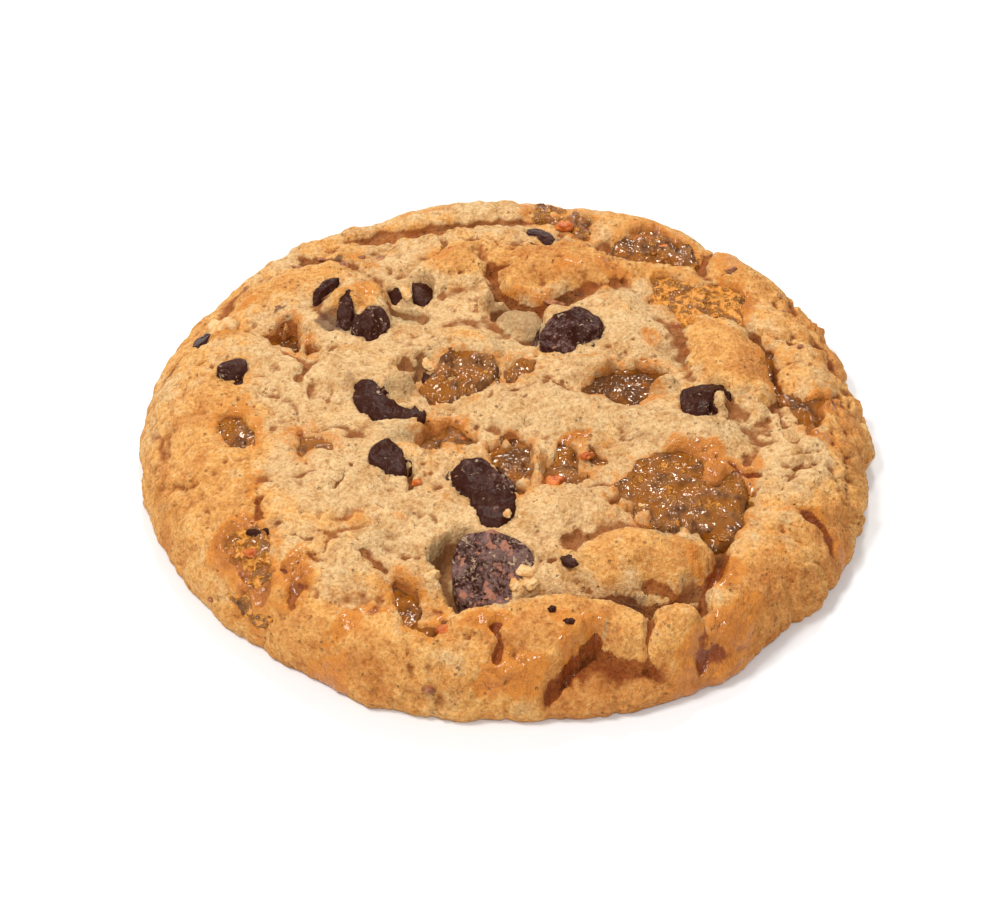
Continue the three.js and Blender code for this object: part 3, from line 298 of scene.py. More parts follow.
# Pockets that show toffee, in the same columns
toffeePockets = {
    "toffee_far_left": ([(3.1, 46), (3.5, 49.8), (5.1, 51), (7.3, 49.9), (10.3, 49.6), (12.8, 48), (14.5, 44.8),
        (13.5, 42), (12.3, 38.8), (10.6, 41.6), (9.2, 43.9), (6.7, 45.5), (4, 44.8)], 1.5),
    "toffee_far_right": ([(16.3, 37), (18.2, 40.8), (20.5, 43.4), (24.5, 43.1), (26.4, 41.7), (28.3, 40.8),
        (30, 37.1), (30.6, 33.7), (28, 34.1), (25.6, 35), (23.6, 34.8), (21.9, 32.9), (19.8, 33.3),
        (17.6, 35.2)], 1.6),
    "toffee_back_right": ([(21.4, 23.4), (22.5, 28), (24.5, 30.6), (26.7, 30.1), (29.4, 27.4), (31.6, 28),
        (33.8, 28.4), (36.6, 27.4), (37.3, 23.9), (36.5, 19), (35.7, 16.3), (34.1, 17.6), (33, 18.9), (30.7, 19.2),
        (29, 18.4), (27.3, 16.1), (25.9, 18), (25, 20.4), (23.3, 22)], 2.2),
    "toffee_middle": ([(-13, 0.1), (-12, 2.6), (-10.6, 5.2), (-9.4, 7.4), (-7.6, 8.2), (-5.6, 7), (-3.6, 6.8),
        (-2, 7.4), (-0.9, 5.8), (-1, 3.4), (-2.4, 1.3), (-5, -0.4), (-7.8, -1.4), (-9, -2.8), (-11.4, -1.8)], 2.0),
    "toffee_centre": ([(-0.5, 3.8), (0.1, 6.6), (1.7, 7.8), (3.8, 8.6), (5.4, 6.2), (4.8, 4.5), (3, 3), (1.7, 1.7),
        (0.1, 2.1)], 1.4),
    "toffee_right": ([(11.2, 1.4), (13, 3.9), (15.5, 5.2), (17.7, 6.8), (20.2, 7.6), (22.9, 7.6), (24.8, 5.9),
        (23.3, 4), (21.7, 2.4), (22.4, 0.1), (20.7, -1.2), (19.2, -2.9), (17, -2.5), (14.8, -1.6),
        (12.3, -0.4)], 2.6),
    "toffee_crease": ([(38, 12), (39.8, 13.2), (40.4, 8), (40.6, 4.2), (41.6, 2.8), (43, 3), (45, 1.8), (48, 2.9),
        (48.2, 1), (46.9, -0.9), (47, -3.7), (45.8, -6.1), (44.2, -9.6), (42.9, -7.3), (42.6, -2.9), (42.3, -0.3),
        (40.3, 0.9), (38.9, 3.2), (38.7, 7.8)], 2.4),
    "toffee_crevice": ([(-13.8, -10.2), (-12.4, -8.1), (-12.9, -4.8), (-11.5, -3.9), (-10.7, -6.5), (-9, -6.5),
        (-6.1, -8.1), (-3.8, -11.4), (-5.7, -12.7), (-7.5, -12.2), (-10.1, -12.9), (-12.1, -12.4)], 2.4),
    "toffee_beside_chip": ([(-4.1, -11.7), (-2.3, -12), (-0.8, -10), (0.9, -8.8), (2.8, -10), (3.9, -13.5),
        (3.9, -16.7), (4.4, -19.5), (3, -21.7), (1.5, -23.3), (0.6, -20.9), (-1, -17.9), (-2.8, -14.8)], 2.4),
    "toffee_pit": ([(5.4, -19.5), (6, -16.1), (7, -12.5), (8.4, -10.5), (10.8, -10.9), (12.9, -12), (15.6, -15),
        (13.4, -15.9), (12.4, -18.7), (10.9, -20.5), (8.7, -21), (6.8, -21.5), (4, -20.5)], 2.4),
    "toffee_pool": ([(13.8, -24.7), (15.6, -22.2), (16.4, -19.8), (18.4, -16), (20.3, -14.6), (22.6, -13.8),
        (24, -12.1), (26.2, -12.1), (28.5, -13.9), (28.9, -17.2), (30.3, -18.8), (32.4, -15.4), (34.4, -16.4),
        (34.8, -21), (34.5, -25.8), (32.8, -29.4), (30.9, -30.6), (29.3, -28.6), (26.6, -29), (23.4, -28.6),
        (20.7, -29.5), (18.3, -28.6), (16.2, -26.5)], 2.0),
    "toffee_front": ([(-15.6, -37), (-13.7, -38), (-12.2, -39.8), (-11, -42.6), (-8.8, -43.4), (-7.6, -45.4),
        (-8.6, -47.4), (-10.4, -49), (-12.3, -48.6), (-13.8, -46.6), (-15, -44.2), (-15.9, -41.4)], 2.6),
    "toffee_dimple": ([(-32, -9.2), (-30.8, -10), (-29.6, -8.7), (-28.1, -8), (-26, -9.6), (-24.4, -12),
        (-24.8, -13.9), (-26.8, -13.8), (-28.3, -13.8), (-29, -16.3), (-29.8, -15.4), (-30.5, -12.8),
        (-31.3, -10.9)], 1.5),
    "toffee_left_pit": ([(-42.7, -7), (-42.1, -4.2), (-40.2, -4.5), (-37.8, -5), (-37.3, -7.8), (-37.3, -10.1),
        (-36.6, -11.7), (-38.4, -12.5), (-40.1, -11.3), (-41.1, -9.5), (-41.9, -7.8)], 1.8),
    "toffee_left_edge": ([(-41, -29), (-38, -26.5), (-36.2, -27), (-34, -28), (-32.6, -30.4), (-32, -32.4),
        (-32.2, -35), (-31.8, -38.4), (-32.9, -40.8), (-34.8, -40.4), (-36.4, -37.5), (-38.4, -36), (-38.8, -33),
        (-40, -31.4)], 1.3),
    "amber drop": ([(-29.6, -36.8), (-28.2, -37.4), (-28.2, -40.6), (-29.2, -42.2), (-30.4, -40.6),
        (-31, -38.6)], 1.2),
    "toffee_hollow": ([(-37.2, 17), (-35, 17.6), (-33.7, 18.6), (-32, 18.9), (-31.3, 15), (-30.1, 13.9),
        (-28.5, 12.7), (-28.1, 10.4), (-29.1, 8.4), (-30.5, 9.3), (-32.2, 11.3), (-33.6, 12.9), (-35.4, 13.8),
        (-37, 15.4)], 4.2),
}

# Bare pockets, where the pale unbaked dough shows
barePockets = {
    "left of the flap": ([(-17, 7.8), (-15.1, 9), (-13.5, 8.2), (-13.7, 6.5), (-14.8, 5.3), (-16.2, 5.7)], 1.8),
    "beside the crown chip": ([(-2.4, 18), (-1.2, 21.4), (1.7, 23.4), (4.4, 23), (6.8, 21.6), (6.4, 18), (5, 13.2),
        (4.9, 10.7), (3, 10.6), (1.2, 13), (-0.9, 15.8)], 2.6),
    "below the shaded chip": ([(-18.5, 21.5), (-16.2, 21.4), (-13.5, 20.6), (-11.2, 20.2), (-11.8, 15.4),
        (-14, 16.6), (-16.6, 17.9)], 1.6),
    "flap": ([(-13.4, 10.5), (-11.6, 9), (-11.6, 5.4), (-13, 2.2), (-14.6, 3.2), (-14, 6)], 1.6),
    "dark pocket": ([(5.6, -42), (6.8, -40.3), (8.4, -40.6), (9.6, -41.3), (12.1, -42.8), (10.2, -43.4),
        (7.3, -43)], 3.4),
    "fold end": ([(23.6, -40.5), (24.6, -37.5), (26.6, -36.5), (27.6, -39), (26, -41.2)], 2.4),
    "holes by the left stain": ([(-35.4, -34.2), (-34.4, -33.6), (-34, -35.4), (-34.9, -36)], 1.8),
    "hole further left": ([(-37.5, -36), (-36.8, -35.6), (-36.8, -37.4), (-37.4, -37.4)], 1.4),
    "small pit": ([(7, 1.4), (7.8, 1.8), (8.2, 0.8), (7.4, 0.2)], 1.2),
}

# Shelves, where a lower layer comes out under the edge: the outline and the level inside it
shelves = {
    "front log": ([(3, -58), (5.9, -54.2), (9.8, -50.4), (11.9, -47.6), (13, -48.6), (14.5, -49.4), (16.2, -49.9),
        (18.3, -50.1), (20.8, -50), (23.1, -51.6), (24.4, -54), (24.5, -58), (24, -60), (12, -62)], 7.0),
    "drips on the right": ([(24.6, -56), (25.2, -52.4), (26.6, -49.2), (28.6, -46.4), (31, -46), (34, -48),
        (36, -52), (30, -58)], 6.4),
    "left of the ridge": ([(-16, -60), (-15.4, -53.8), (-10, -54.6), (-5.2, -55), (-5, -60)], 3.6),
}


def outlineRadius(angle):
    # The radius, with a bell curve added for each swell
    degrees = np.degrees(angle)
    reach = np.full(np.shape(angle), dough["radius"])
    for middle, width, out in rimSwells:
        away = (degrees - middle + 180) % 360 - 180
        reach = reach + out * np.exp(-((away / width) ** 2))
    return reach


def shareOut(x, y):
    # How far out a point lies: its distance from the middle over the outline's radius that way
    return np.hypot(x, y) / outlineRadius(np.arctan2(y, x))


def domeHeight(share, level=dough["crown"], power=dough["domePower"]):
    # From the waist at the outline to the level in the middle, as the root of 1 - share^power
    return dough["waist"] + (level - dough["waist"]) * np.sqrt(1 - np.minimum(share, 1) ** power)


def rimFade(share):
    # 1 over most of the top, falling to 0 at the outline as the root of 1 - share^12
    return np.sqrt(np.maximum(0, 1 - share**12))


def blendedLobes(x, y, blend):
    # The highest of the lobes, each an upturned bowl, with the corners between them rounded off
    total = np.ones_like(x)
    for *place, rise, roundness in lobes.values():
        share = np.minimum(ovalShare(x, y, *place), 1)
        total += np.exp(rise * (1 - share**2) ** roundness / blend) - 1
    return blend * np.log(total)


def dipDepth(x, y):
    # The dips' bowls together, each a bell over an oval
    total = np.zeros_like(x)
    for *place, depth in dips:
        total += depth * np.exp(-1.6 * ovalShare(x, y, *place) ** 2)
    return total


def levelAt(x, y):
    # The dough's level without folds, cracks and pockets, which the pieces are set against
    x, y = np.atleast_1d(np.float64(x)), np.atleast_1d(np.float64(y))
    relief = blendedLobes(x, y, dough["creaseBlend"]) - dipDepth(x, y)
    return domeHeight(shareOut(x, y)) + rimFade(shareOut(x, y)) * relief


def foldHeight(x, y, path, step, reach):
    # A step across a line: the left layer rises to the line, the right one dips to it, both fading out
    path = rounded(path, False)
    away, left, _ = lineDistance(x, y, path, False)
    ends = np.minimum(np.hypot(x - path[0][0], y - path[0][1]), np.hypot(x - path[-1][0], y - path[-1][1]))
    strength = step * smooth(ends, 0, 2.5)
    raised = 0.5 * strength * np.exp(-((away / reach) ** 2))
    lowered = -0.5 * strength * np.exp(-((away / (0.35 * reach)) ** 2))
    edge = smooth(away * left, -0.35, 0.25)
    return lowered * (1 - edge) + raised * edge


def crackDepth(x, y, path, width, depth):
    # A bell across the line: depth * e^-(distance / width)^2
    away, _, _ = lineDistance(x, y, rounded(path, False), False)
    return depth * np.exp(-((away / width) ** 2))


def wander(ground, strengths, seeds):
    # Two layers of noise for each seed, one swing for X and one for Y
    (wide, wideSize), (narrow, narrowSize) = strengths
    return [wide * grain(ground, wideSize, seed) + narrow * grain(ground, narrowSize, seed + 1) for seed in seeds]


def doughHeight(x, y):
    # The dome and its lobes, then folds, cracks and pockets, all drawn on slightly stirred coordinates, and
    # the lips over them. The toffee's pockets are torn further, with islands of dough in them
    share = shareOut(x, y)
    ground = flat(x, y)
    bendX, bendY = wander(ground, dough["stir"], (11, 13))
    nibbleX, nibbleY = wander(ground, dough["nibble"], (15, 17))
    lobeX, lobeY = x + bendX, y + bendY
    lineX, lineY = x + 0.25 * bendX + nibbleX, y + 0.25 * bendY + nibbleY
    relief = blendedLobes(lobeX, lobeY, dough["creaseBlend"]) - dipDepth(lobeX, lobeY)
    for path, step, reach in folds.values():
        relief += foldHeight(lineX, lineY, path, step, reach)
    hollow = np.zeros_like(x)
    for outline, depth in [*chipPockets.values(), *barePockets.values()]:
        away = outlineDistance(lineX, lineY, outline)
        hollow = np.maximum(hollow, depth * smooth(away, 0.15, -dough["pocketWall"]))
    tornX, tornY = wander(ground, dough["tear"], (21, 25))
    island = smooth(grain(ground, 2.8, 27), 0.5, 0.66)
    for outline, depth in toffeePockets.values():
        away = outlineDistance(lineX + tornX, lineY + tornY, outline)
        hollow = np.maximum(hollow, depth * smooth(away, 0.15, -dough["pocketWall"]) * (1 - 0.92 * island))
    relief -= hollow
    for *place, rise, roundness in lips.values():
        covered = ovalShare(lineX, lineY, *place)
        lip = rise * (1 - np.minimum(covered, 1) ** 2) ** roundness - 9 * smooth(covered, 0.8, 1.5)
        relief = np.logaddexp(relief / 0.25, lip / 0.25) * 0.25
    height = domeHeight(share) + rimFade(share) * relief
    for outline, level in shelves.values():
        covered = smooth(outlineDistance(lineX, lineY, outline), 0.3, -0.4)
        height += covered * np.minimum(domeHeight(share, level, 14) + 0.4 * grain(ground, 4, 19) - height, 0)
    for path, width, depth in cracks.values():
        height -= rimFade(share) * crackDepth(lineX, lineY, path, width, depth)
    return height, hollow


def discGrid(steps):
    # A square grid bent into a disc: each square ring of the grid becomes a ring of the disc, and the rings
    # crowd together where the edge of the dome gets steep
    line = np.linspace(-1, 1, steps + 1)
    u, v = np.meshgrid(line, line)
    ring = np.maximum(np.abs(u), np.abs(v))
    safe = np.where(ring == 0, 1, ring)
    wide = np.abs(u) >= np.abs(v)
    sideways = (v / np.where(wide, np.where(u == 0, 1, u), 1)) * (math.pi / 4) + np.where(u < 0, math.pi, 0)
    upright = math.pi / 2 - (u / np.where(wide, 1, safe * np.sign(v + (v == 0)))) * (math.pi / 4)
    upright = upright + np.where(v < 0, math.pi, 0)
    angle = np.where(wide, sideways, upright)
    crowd = dough["rimCrowding"]
    share = 1 - (np.hypot(1 - ring, crowd) - crowd) / (math.hypot(1, crowd) - crowd)
    return share, angle


def gridFaces(rows, columns, start=0):
    # Quads of a grid that is open both ways
    corner = start + np.arange(rows - 1)[:, None] * columns + np.arange(columns - 1)
    return np.stack([corner, corner + 1, corner + columns + 1, corner + columns], -1).reshape(-1, 4)


def makePiece(name, points, quads, triangles, fields, material):
    # Points in mm, faces as index arrays, and named numbers for each point, written as whole arrays
    mesh = bpy.data.meshes.new(name)
    mesh.vertices.add(len(points))
    mesh.vertices.foreach_set("co", (np.asarray(points) * mm).astype(np.float32).ravel())
    corners = np.concatenate([np.asarray(quads).ravel(), np.asarray(triangles).ravel()]).astype(np.int32)
    sizes = np.concatenate([np.full(len(quads), 4), np.full(len(triangles), 3)])
    mesh.loops.add(len(corners))
    mesh.loops.foreach_set("vertex_index", corners)
    mesh.polygons.add(len(sizes))
    mesh.polygons.foreach_set("loop_start", np.concatenate([[0], np.cumsum(sizes)[:-1]]).astype(np.int32))
    mesh.polygons.foreach_set("use_smooth", np.ones(len(sizes), bool))
    for field, values in fields.items():
        mesh.attributes.new(field, "FLOAT", "POINT").data.foreach_set("value", np.asarray(values, np.float32))
    mesh.update(calc_edges=True)
    mesh.validate()
    mesh.materials.append(material)
    piece = bpy.data.objects.new(name, mesh)
    bpy.context.scene.collection.objects.link(piece)
    return piece


def averaged(values, reach):
    # Mean over a square of grid cells, taken twice, by running sums along each way of the grid
    for axis in (0, 1, 0, 1):
        padded = np.pad(values, [(reach + 1, reach) if a == axis else (0, 0) for a in (0, 1)], "edge")
        total = np.cumsum(padded, axis)
        count = values.shape[axis]
        first = np.take(total, np.arange(count), axis)
        values = (np.take(total, np.arange(count) + 2 * reach + 1, axis) - first) / (2 * reach + 1)
    return values


def spots(x, y, table, seed):
    # The strongest of several oval stains at each point, with ragged soft edges
    ground = flat(x, y)
    x = x + 0.9 * grain(ground, 2.4, seed) + 0.4 * grain(ground, 1.0, seed + 1)
    y = y + 0.9 * grain(ground, 2.4, seed + 2) + 0.4 * grain(ground, 1.0, seed + 3)
    result = np.zeros_like(x)
    for *place, strength in table:
        result = np.maximum(result, strength * smooth(ovalShare(x, y, *place), 1.15, 0.45))
    return result


# Stains on the dough: centre, length, width, turn, strength
toffeeStains = [
    (-42.3, 17.3, 5, 4.6, 60, 0.75), (-40, 23.6, 4, 2, 45, 0.7), (-20.8, 22, 5, 5.5, 90, 0.55),
    (-9.8, 32.4, 6, 5, 0, 0.7), (9.5, 29, 6, 4, 0, 0.6), (15.8, 28.1, 7, 5, -10, 0.8), (11, 41, 5, 4, 0, 0.5),
    (35, 33, 9, 6, 120, 0.6), (24, 40, 10, 6, -20, 0.8), (36, 24, 6, 10, 20, 0.7), (44, 10, 6, 4, 30, 0.35),
    (47.8, 1, 8, 6, 10, 0.7), (46.5, -9, 7, 4, 0, 0.6), (30, -46, 16, 6, 45, 1.1), (26.5, -51, 5, 7, 0, 1.0),
    (34, -41, 7, 3, 40, 0.6), (1, -53.4, 9, 5, 0, 0.8), (-38, -30, 12, 9, -60, 0.8), (7.4, -46.6, 4, 4, 0, 0.7),
    (28, -13, 10, 5, 0, 0.9), (31.8, -19, 9, 14, 0, 0.9), (9.5, -10.6, 7, 2.4, 20, 0.8), (36, -15, 4, 4, 0, 0.6),
    (-36, -20, 3, 8, 0, 0.6), (-38.6, -30, 9, 8, -60, 0.95), (-35, -37, 8, 6, 0, 0.9), (-29.3, -36, 5, 9, 5, 0.8),
    (-22, -45.5, 7, 5, 0, 0.75), (-24.5, -49.5, 8, 4, -25, 0.85), (-18.5, -43.5, 4, 3, 0, 0.6),
    (-3.2, -47, 9, 4, 10, 0.8), (-1, -53.5, 7, 5, 0, 0.9), (3, -53, 8, 4, 10, 0.7), (8.8, -49.5, 3, 8, 0, 0.9),
    (12.3, -47, 6, 3, -10, 0.7), (26.5, -49.5, 7, 12, -30, 1.0), (30.5, -46, 6, 8, -30, 0.9),
    (30.5, -36, 6, 9, -35, 0.85), (26.5, -36, 3, 6, 0, 0.8), (43, -23.5, 9, 3, 0, 0.6), (47, -26, 5, 4, 0, 0.7),
    (13, 7, 6, 3, 20, 0.5), (22, 12.5, 4, 6, 20, 0.5), (3.5, 24, 9, 3, -10, 0.6), (-7.6, -6.5, 6, 3, 30, 0.5),
    (-33, 31, 5, 2.6, 20, 0.35), (-24, 33.5, 6, 3, 10, 0.4), (-20.8, 31.5, 4, 4, 0, 0.5), (-39.5, -3, 5, 4, 0, 0.5),
    (-36.4, -8.4, 3, 6, 0, 0.5), (-31, -9, 3, 3, 0, 0.4), (-22, -27.6, 5, 4, 0, 0.4), (-15, -28, 5, 4, 0, 0.3),
    (40, -30, 9, 5, 40, 0.35), (-13.5, 47.8, 9, 3, 10, 0.5), (2, 50, 6, 3, 0, 0.3), (6.5, -19, 3, 3, 0, 0.4),
]
rawPatches = [
    (2.4, 16.5, 9, 12, 20, 0.9), (-14.5, 18.5, 9, 6, -10, 0.8), (-12.8, 6.4, 4, 9, 0, 0.8),
    (-16.3, 0.3, 7, 6, 0, 0.5), (-15, -9.5, 9, 5, 0, 0.5), (8.6, 38.6, 6, 4, -30, 0.7),
    (-8.8, -35.5, 4, 11, 10, 0.8), (13.2, -48.2, 3.4, 1.6, -10, 0.9), (31, -8, 16, 8, 0, 0.35),
    (11, -36.5, 8, 4, 0, 0.35), (-17, -32, 12, 8, -30, 0.35), (21, -41, 6, 4, 0, 0.5), (-38, -21.5, 5, 4, 0, 0.3),
    (25, 24, 6, 6, 0, 0.4), (24.5, 9, 6, 9, 20, 0.5), (0, 12, 6, 6, 0, 0.3),
]
# Cocoa smears, some laid along cracks and folds as painted shade
cocoaAndShadeSmears = [
    (-26.6, 17.4, 5, 6, 70, 0.7), (-23.5, 2.4, 4, 6, 20, 0.5), (-24, -1, 4, 5, 0, 0.4),
    (-16.5, -19.6, 6, 2, 0, 0.5), (2.6, -35, 3, 3, 0, 0.4), (8.9, -36.4, 2.4, 3, 60, 0.8),
    (-19, -34, 4, 2.5, -50, 0.35), (8, -40.8, 7, 2, -15, 1.0), (17, -41.2, 10, 1.6, 0, 0.6),
    (-18.6, -7, 5, 1.6, -20, 0.5), (-26.8, 34, 5, 1.2, 0, 0.8), (34.8, 30, 2.4, 1.2, 30, 0.8),
    (42, 28, 6, 2, -50, 0.4), (48.5, 15, 3, 8, 20, 0.35), (34.9, -5.2, 3, 1.6, 0, 0.5), (11, 24.2, 6, 1.2, 0, 0.6),
    (-34.6, 19.6, 1.6, 1, 0, 0.8),
]

# Where the dough is browner than its place makes it, and paler
toastedPatches = [
    (9, 30, 30, 13, -6, 1.3), (-7, 32, 16, 12, 10, 1.0), (-22.6, 21.5, 12, 10, 40, 1.0), (33, 8, 24, 13, 112, 1.1),
    (19, -34.5, 24, 10, 4, 0.8), (14, -53, 24, 7, 6, 0.8), (4, -48, 34, 10, 2, 0.6), (-27, -46, 34, 10, -28, 0.5),
    (-40, -12, 20, 30, 0, 0.5), (-33, 27, 18, 12, 40, 0.35), (50, -6, 8, 22, 0, 0.5), (-6.5, 13, 10, 8, 0, 0.5),
    (-42, 17.5, 8, 7, 60, 0.5), (48, 18, 8, 26, 15, 0.45), (46, -26, 14, 10, 50, 0.6), (24, -47.5, 9, 9, 0, 0.4),
    (-47, -18, 9, 26, 10, 0.3), (38, -38, 22, 12, 45, 0.55),
]
palePatches = [
    (-6, 50, 50, 10, 4, 0.6), (43, -11, 14, 22, 0, 0.5), (-38, 36, 20, 14, 45, 0.3), (8, -5, 34, 9, -4, 0.3),
    (-26, -18, 26, 20, 0, 0.3), (20, 13, 14, 10, 0, 0.3), (28, -8, 16, 8, 0, 0.35),
]


def toffeeSeep(x, y):
    # 1 inside a toffee pocket, fading out over the dough beside it
    away = np.full(x.shape, 9.0)
    for outline, _ in toffeePockets.values():
        away = np.minimum(away, outlineDistance(x, y, outline))
    return smooth(away, 2.4, 0.0)


def doughSurface():
    # The bent grid at the dough's height, roughened, with its border carried round to a flat base, and the
    # numbers for each point that the material reads
    steps = dough["gridSteps"]
    share, angle = discGrid(steps)
    reach = outlineRadius(angle) * share
    x, y = reach * np.cos(angle), reach * np.sin(angle)
    height, hollow = doughHeight(x, y)
    top = np.stack([x, y, height], -1)
    # Crumb relief, pushed out along the surface's own direction and stronger beside the pockets
    acrossX, acrossY = np.gradient(top, axis=1), np.gradient(top, axis=0)
    normal = np.cross(acrossX, acrossY)
    normal /= np.linalg.norm(normal, axis=-1, keepdims=True) + 1e-12
    rough = (0.7 + 0.6 * smooth(grain(flat(x, y), 9, 31), -0.2, 0.6)) * (1 - 0.5 * smooth(y, 38, 48))
    rough *= 1 + 0.5 * smooth(x, 30, 46)
    crumb = dough["lumpDepth"] * layered(top, 3.4, 2, 41) + dough["crumbDepth"] * layered(top, 1.1, 2, 51)
    pores = np.minimum(0, grain(top, 1.2, 61) + 0.58) * dough["poreDepth"]
    split = layered(top, 5.5, 2, 65)
    torn = smooth(grain(flat(x, y), 12, 67), 0.0, 0.4)
    pores = pores - dough["splitDepth"] * torn * np.exp(-((split / 0.07) ** 2))
    creased = np.sqrt(np.abs(layered(flat(x, y), 6.5, 3, 33))) - 0.55
    crumb = crumb + dough["creaseDepth"] * creased
    fade = smooth(top[..., 2], 0.3, 2.0)
    relief = (crumb + pores) * rough * fade * (1 - 0.3 * smooth(hollow, 0, 1))
    top = top + normal * relief[..., None]
    top[..., 2] = np.maximum(top[..., 2], 0.2)
    # How far each point lies below the mean round it, near and wider: the material paints this as shade in the
    # creases
    lift = top[..., 2] - domeHeight(share)
    wide, narrow = averaged(lift, 9) - lift, averaged(lift, 3) - lift
    cavity = (0.55 * wide + 1.5 * narrow) * smooth(share, 1.0, 0.95)

    # The grid's border, counter-clockwise, carried down and in to the flat base
    side = steps + 1
    index = np.arange(side * side).reshape(side, side)
    loop = np.concatenate([index[0, :-1], index[:-1, -1], index[-1, :0:-1], index[:0:-1, 0]])
    edge = top.reshape(-1, 3)[loop]
    outward = edge[:, :2] / np.linalg.norm(edge[:, :2], axis=1, keepdims=True)
    rings = []
    for turn in np.radians([15, 30, 45, 60, 75, 90]):
        inset = dough["baseInset"] * (1 - math.cos(turn))
        ring = np.column_stack([edge[:, :2] - outward * inset, edge[:, 2] * (1 - math.sin(turn))])
        rings.append(ring)
    for inner in (0.9, 0.6, 0.3):
        rings.append(rings[5] * (inner, inner, 1))
    points = np.concatenate([top.reshape(-1, 3), *rings, [[0, 0, 0]]])
    quads = [gridFaces(side, side)]
    previous = loop
    for k in range(len(rings)):
        current = side * side + k * len(loop) + np.arange(len(loop))
        quads.append(np.stack([previous, current, np.roll(current, -1), np.roll(previous, -1)], -1))
        previous = current
    middle = len(points) - 1
    triangles = np.stack([np.full(len(loop), middle), np.roll(previous, -1), previous], -1)

    px, py = points[:, 0], points[:, 1]
    fields = {
        "stain": spots(px, py, toffeeStains, 71),
        "raw": spots(px, py, rawPatches, 81),
        "cocoaAndShade": spots(px, py, cocoaAndShadeSmears, 91),
        "hollow": np.concatenate([hollow.ravel(), np.zeros(len(points) - hollow.size)]),
        "rim": np.clip(shareOut(px, py), 0, 1),
        "low": np.concatenate([cavity.ravel(), np.zeros(len(points) - hollow.size)]),
        "toast": spots(px, py, toastedPatches, 75) - spots(px, py, palePatches, 77),
        "seep": toffeeSeep(px, py),
    }
    return points, np.concatenate(quads), triangles, fields


# Shader maths


class Shade:
    # One socket of a node, on which sums, differences and products are written as expressions
    def __init__(self, recipe, socket):
        self.recipe = recipe
        self.socket = socket

    def maths(self, operation, first, second):
        return self.recipe.node("ShaderNodeMath", {"operation": operation}, {0: first, 1: second})

    def __add__(self, other):
        return self.maths("ADD", self, other)

    def __radd__(self, other):
        return self.maths("ADD", other, self)

    def __sub__(self, other):
        return self.maths("SUBTRACT", self, other)

    def __rsub__(self, other):
        return self.maths("SUBTRACT", other, self)

    def __mul__(self, other):
        return self.maths("MULTIPLY", self, other)

    def __rmul__(self, other):
        return self.maths("MULTIPLY", other, self)

    def over(self, start, end):
        # 0 where the value is at start, 1 at end, smooth between
        settings = {"interpolation_type": "SMOOTHSTEP"}
        return self.recipe.node("ShaderNodeMapRange", settings, {"Value": self, "From Min": start, "From Max": end})


class Recipe:
    # A material's node tree, filled by one method
    def __init__(self, name):
        self.material = bpy.data.materials.new(name)
        self.material.use_nodes = True
        self.tree = self.material.node_tree
        self.tree.nodes.clear()

    def node(self, kind, settings, sockets, output=0):
        made = self.tree.nodes.new(kind)
        for name, value in settings.items():
            setattr(made, name, value)
        for name, value in sockets.items():
            if isinstance(value, Shade):
                self.tree.links.new(value.socket, made.inputs[name])
            else:
                made.inputs[name].default_value = value
        return Shade(self, made.outputs[output]) if made.outputs else None

    def place(self):
        return self.node("ShaderNodeTexCoord", {}, {}, "Object")

    def field(self, name):
        return self.node("ShaderNodeAttribute", {"attribute_name": name}, {}, "Fac")

    def noise(self, place, size, detail=2.0, rough=0.5, lean=0.0):
        # Cloudy, about 0.5, with lumps of the given size in mm
        sockets = {"Vector": place, "Scale": 1 / (size * mm), "Detail": detail, "Roughness": rough}
        return self.node("ShaderNodeTexNoise", {}, {**sockets, "Distortion": lean}, "Fac")

    def cells(self, place, size):
        # Distance to the nearest of scattered points, over their spacing
        return self.node("ShaderNodeTexVoronoi", {}, {"Vector": place, "Scale": 1 / (size * mm)}, "Distance")

    def mix(self, share, first, second, blend="MIX"):
        # Between two colours
        sockets = {0: share, 6: first, 7: second}
        settings = {"data_type": "RGBA", "blend_type": blend, "clamp_factor": True}
        return self.node("ShaderNodeMix", settings, sockets, 2)

    def bump(self, height, depth):
        return self.node("ShaderNodeBump", {}, {"Height": height, "Distance": depth * mm, "Strength": 1.0}, "Normal")

    def finish(self, sockets):
        surface = self.node("ShaderNodeBsdfPrincipled", {}, sockets, "BSDF")
        self.node("ShaderNodeOutputMaterial", {}, {"Surface": surface})
        return self.material


def colour(red, green, blue):
    # As a colour socket takes it, in linear light
    return (red, green, blue, 1.0)


doughFinish = {
    "pale": colour(0.75, 0.485, 0.225),
    "golden": colour(0.79, 0.40, 0.11),
    "brown": colour(0.58, 0.215, 0.046),
    "amber": colour(0.64, 0.215, 0.020),
    "deepAmber": colour(0.38, 0.105, 0.009),
    "raw": colour(0.48, 0.345, 0.17),
    "cocoaAndShade": colour(0.10, 0.04, 0.028),
    "mottle": colour(0.80, 0.66, 0.50),
    # painted shade, for the creases, the pockets' walls and the pores
    "creviceShade": colour(0.40, 0.19, 0.07),
    "crumbDark": colour(0.62, 0.46, 0.32),
    "crumbLight": colour(0.80, 0.60, 0.34),
    "roughness": 0.85,
    "glazeShine": 0.6,  # how much less rough the dough is under a glaze of toffee
    "glazeCoat": 0.35,
    "relief": 0.6,  # mm
}


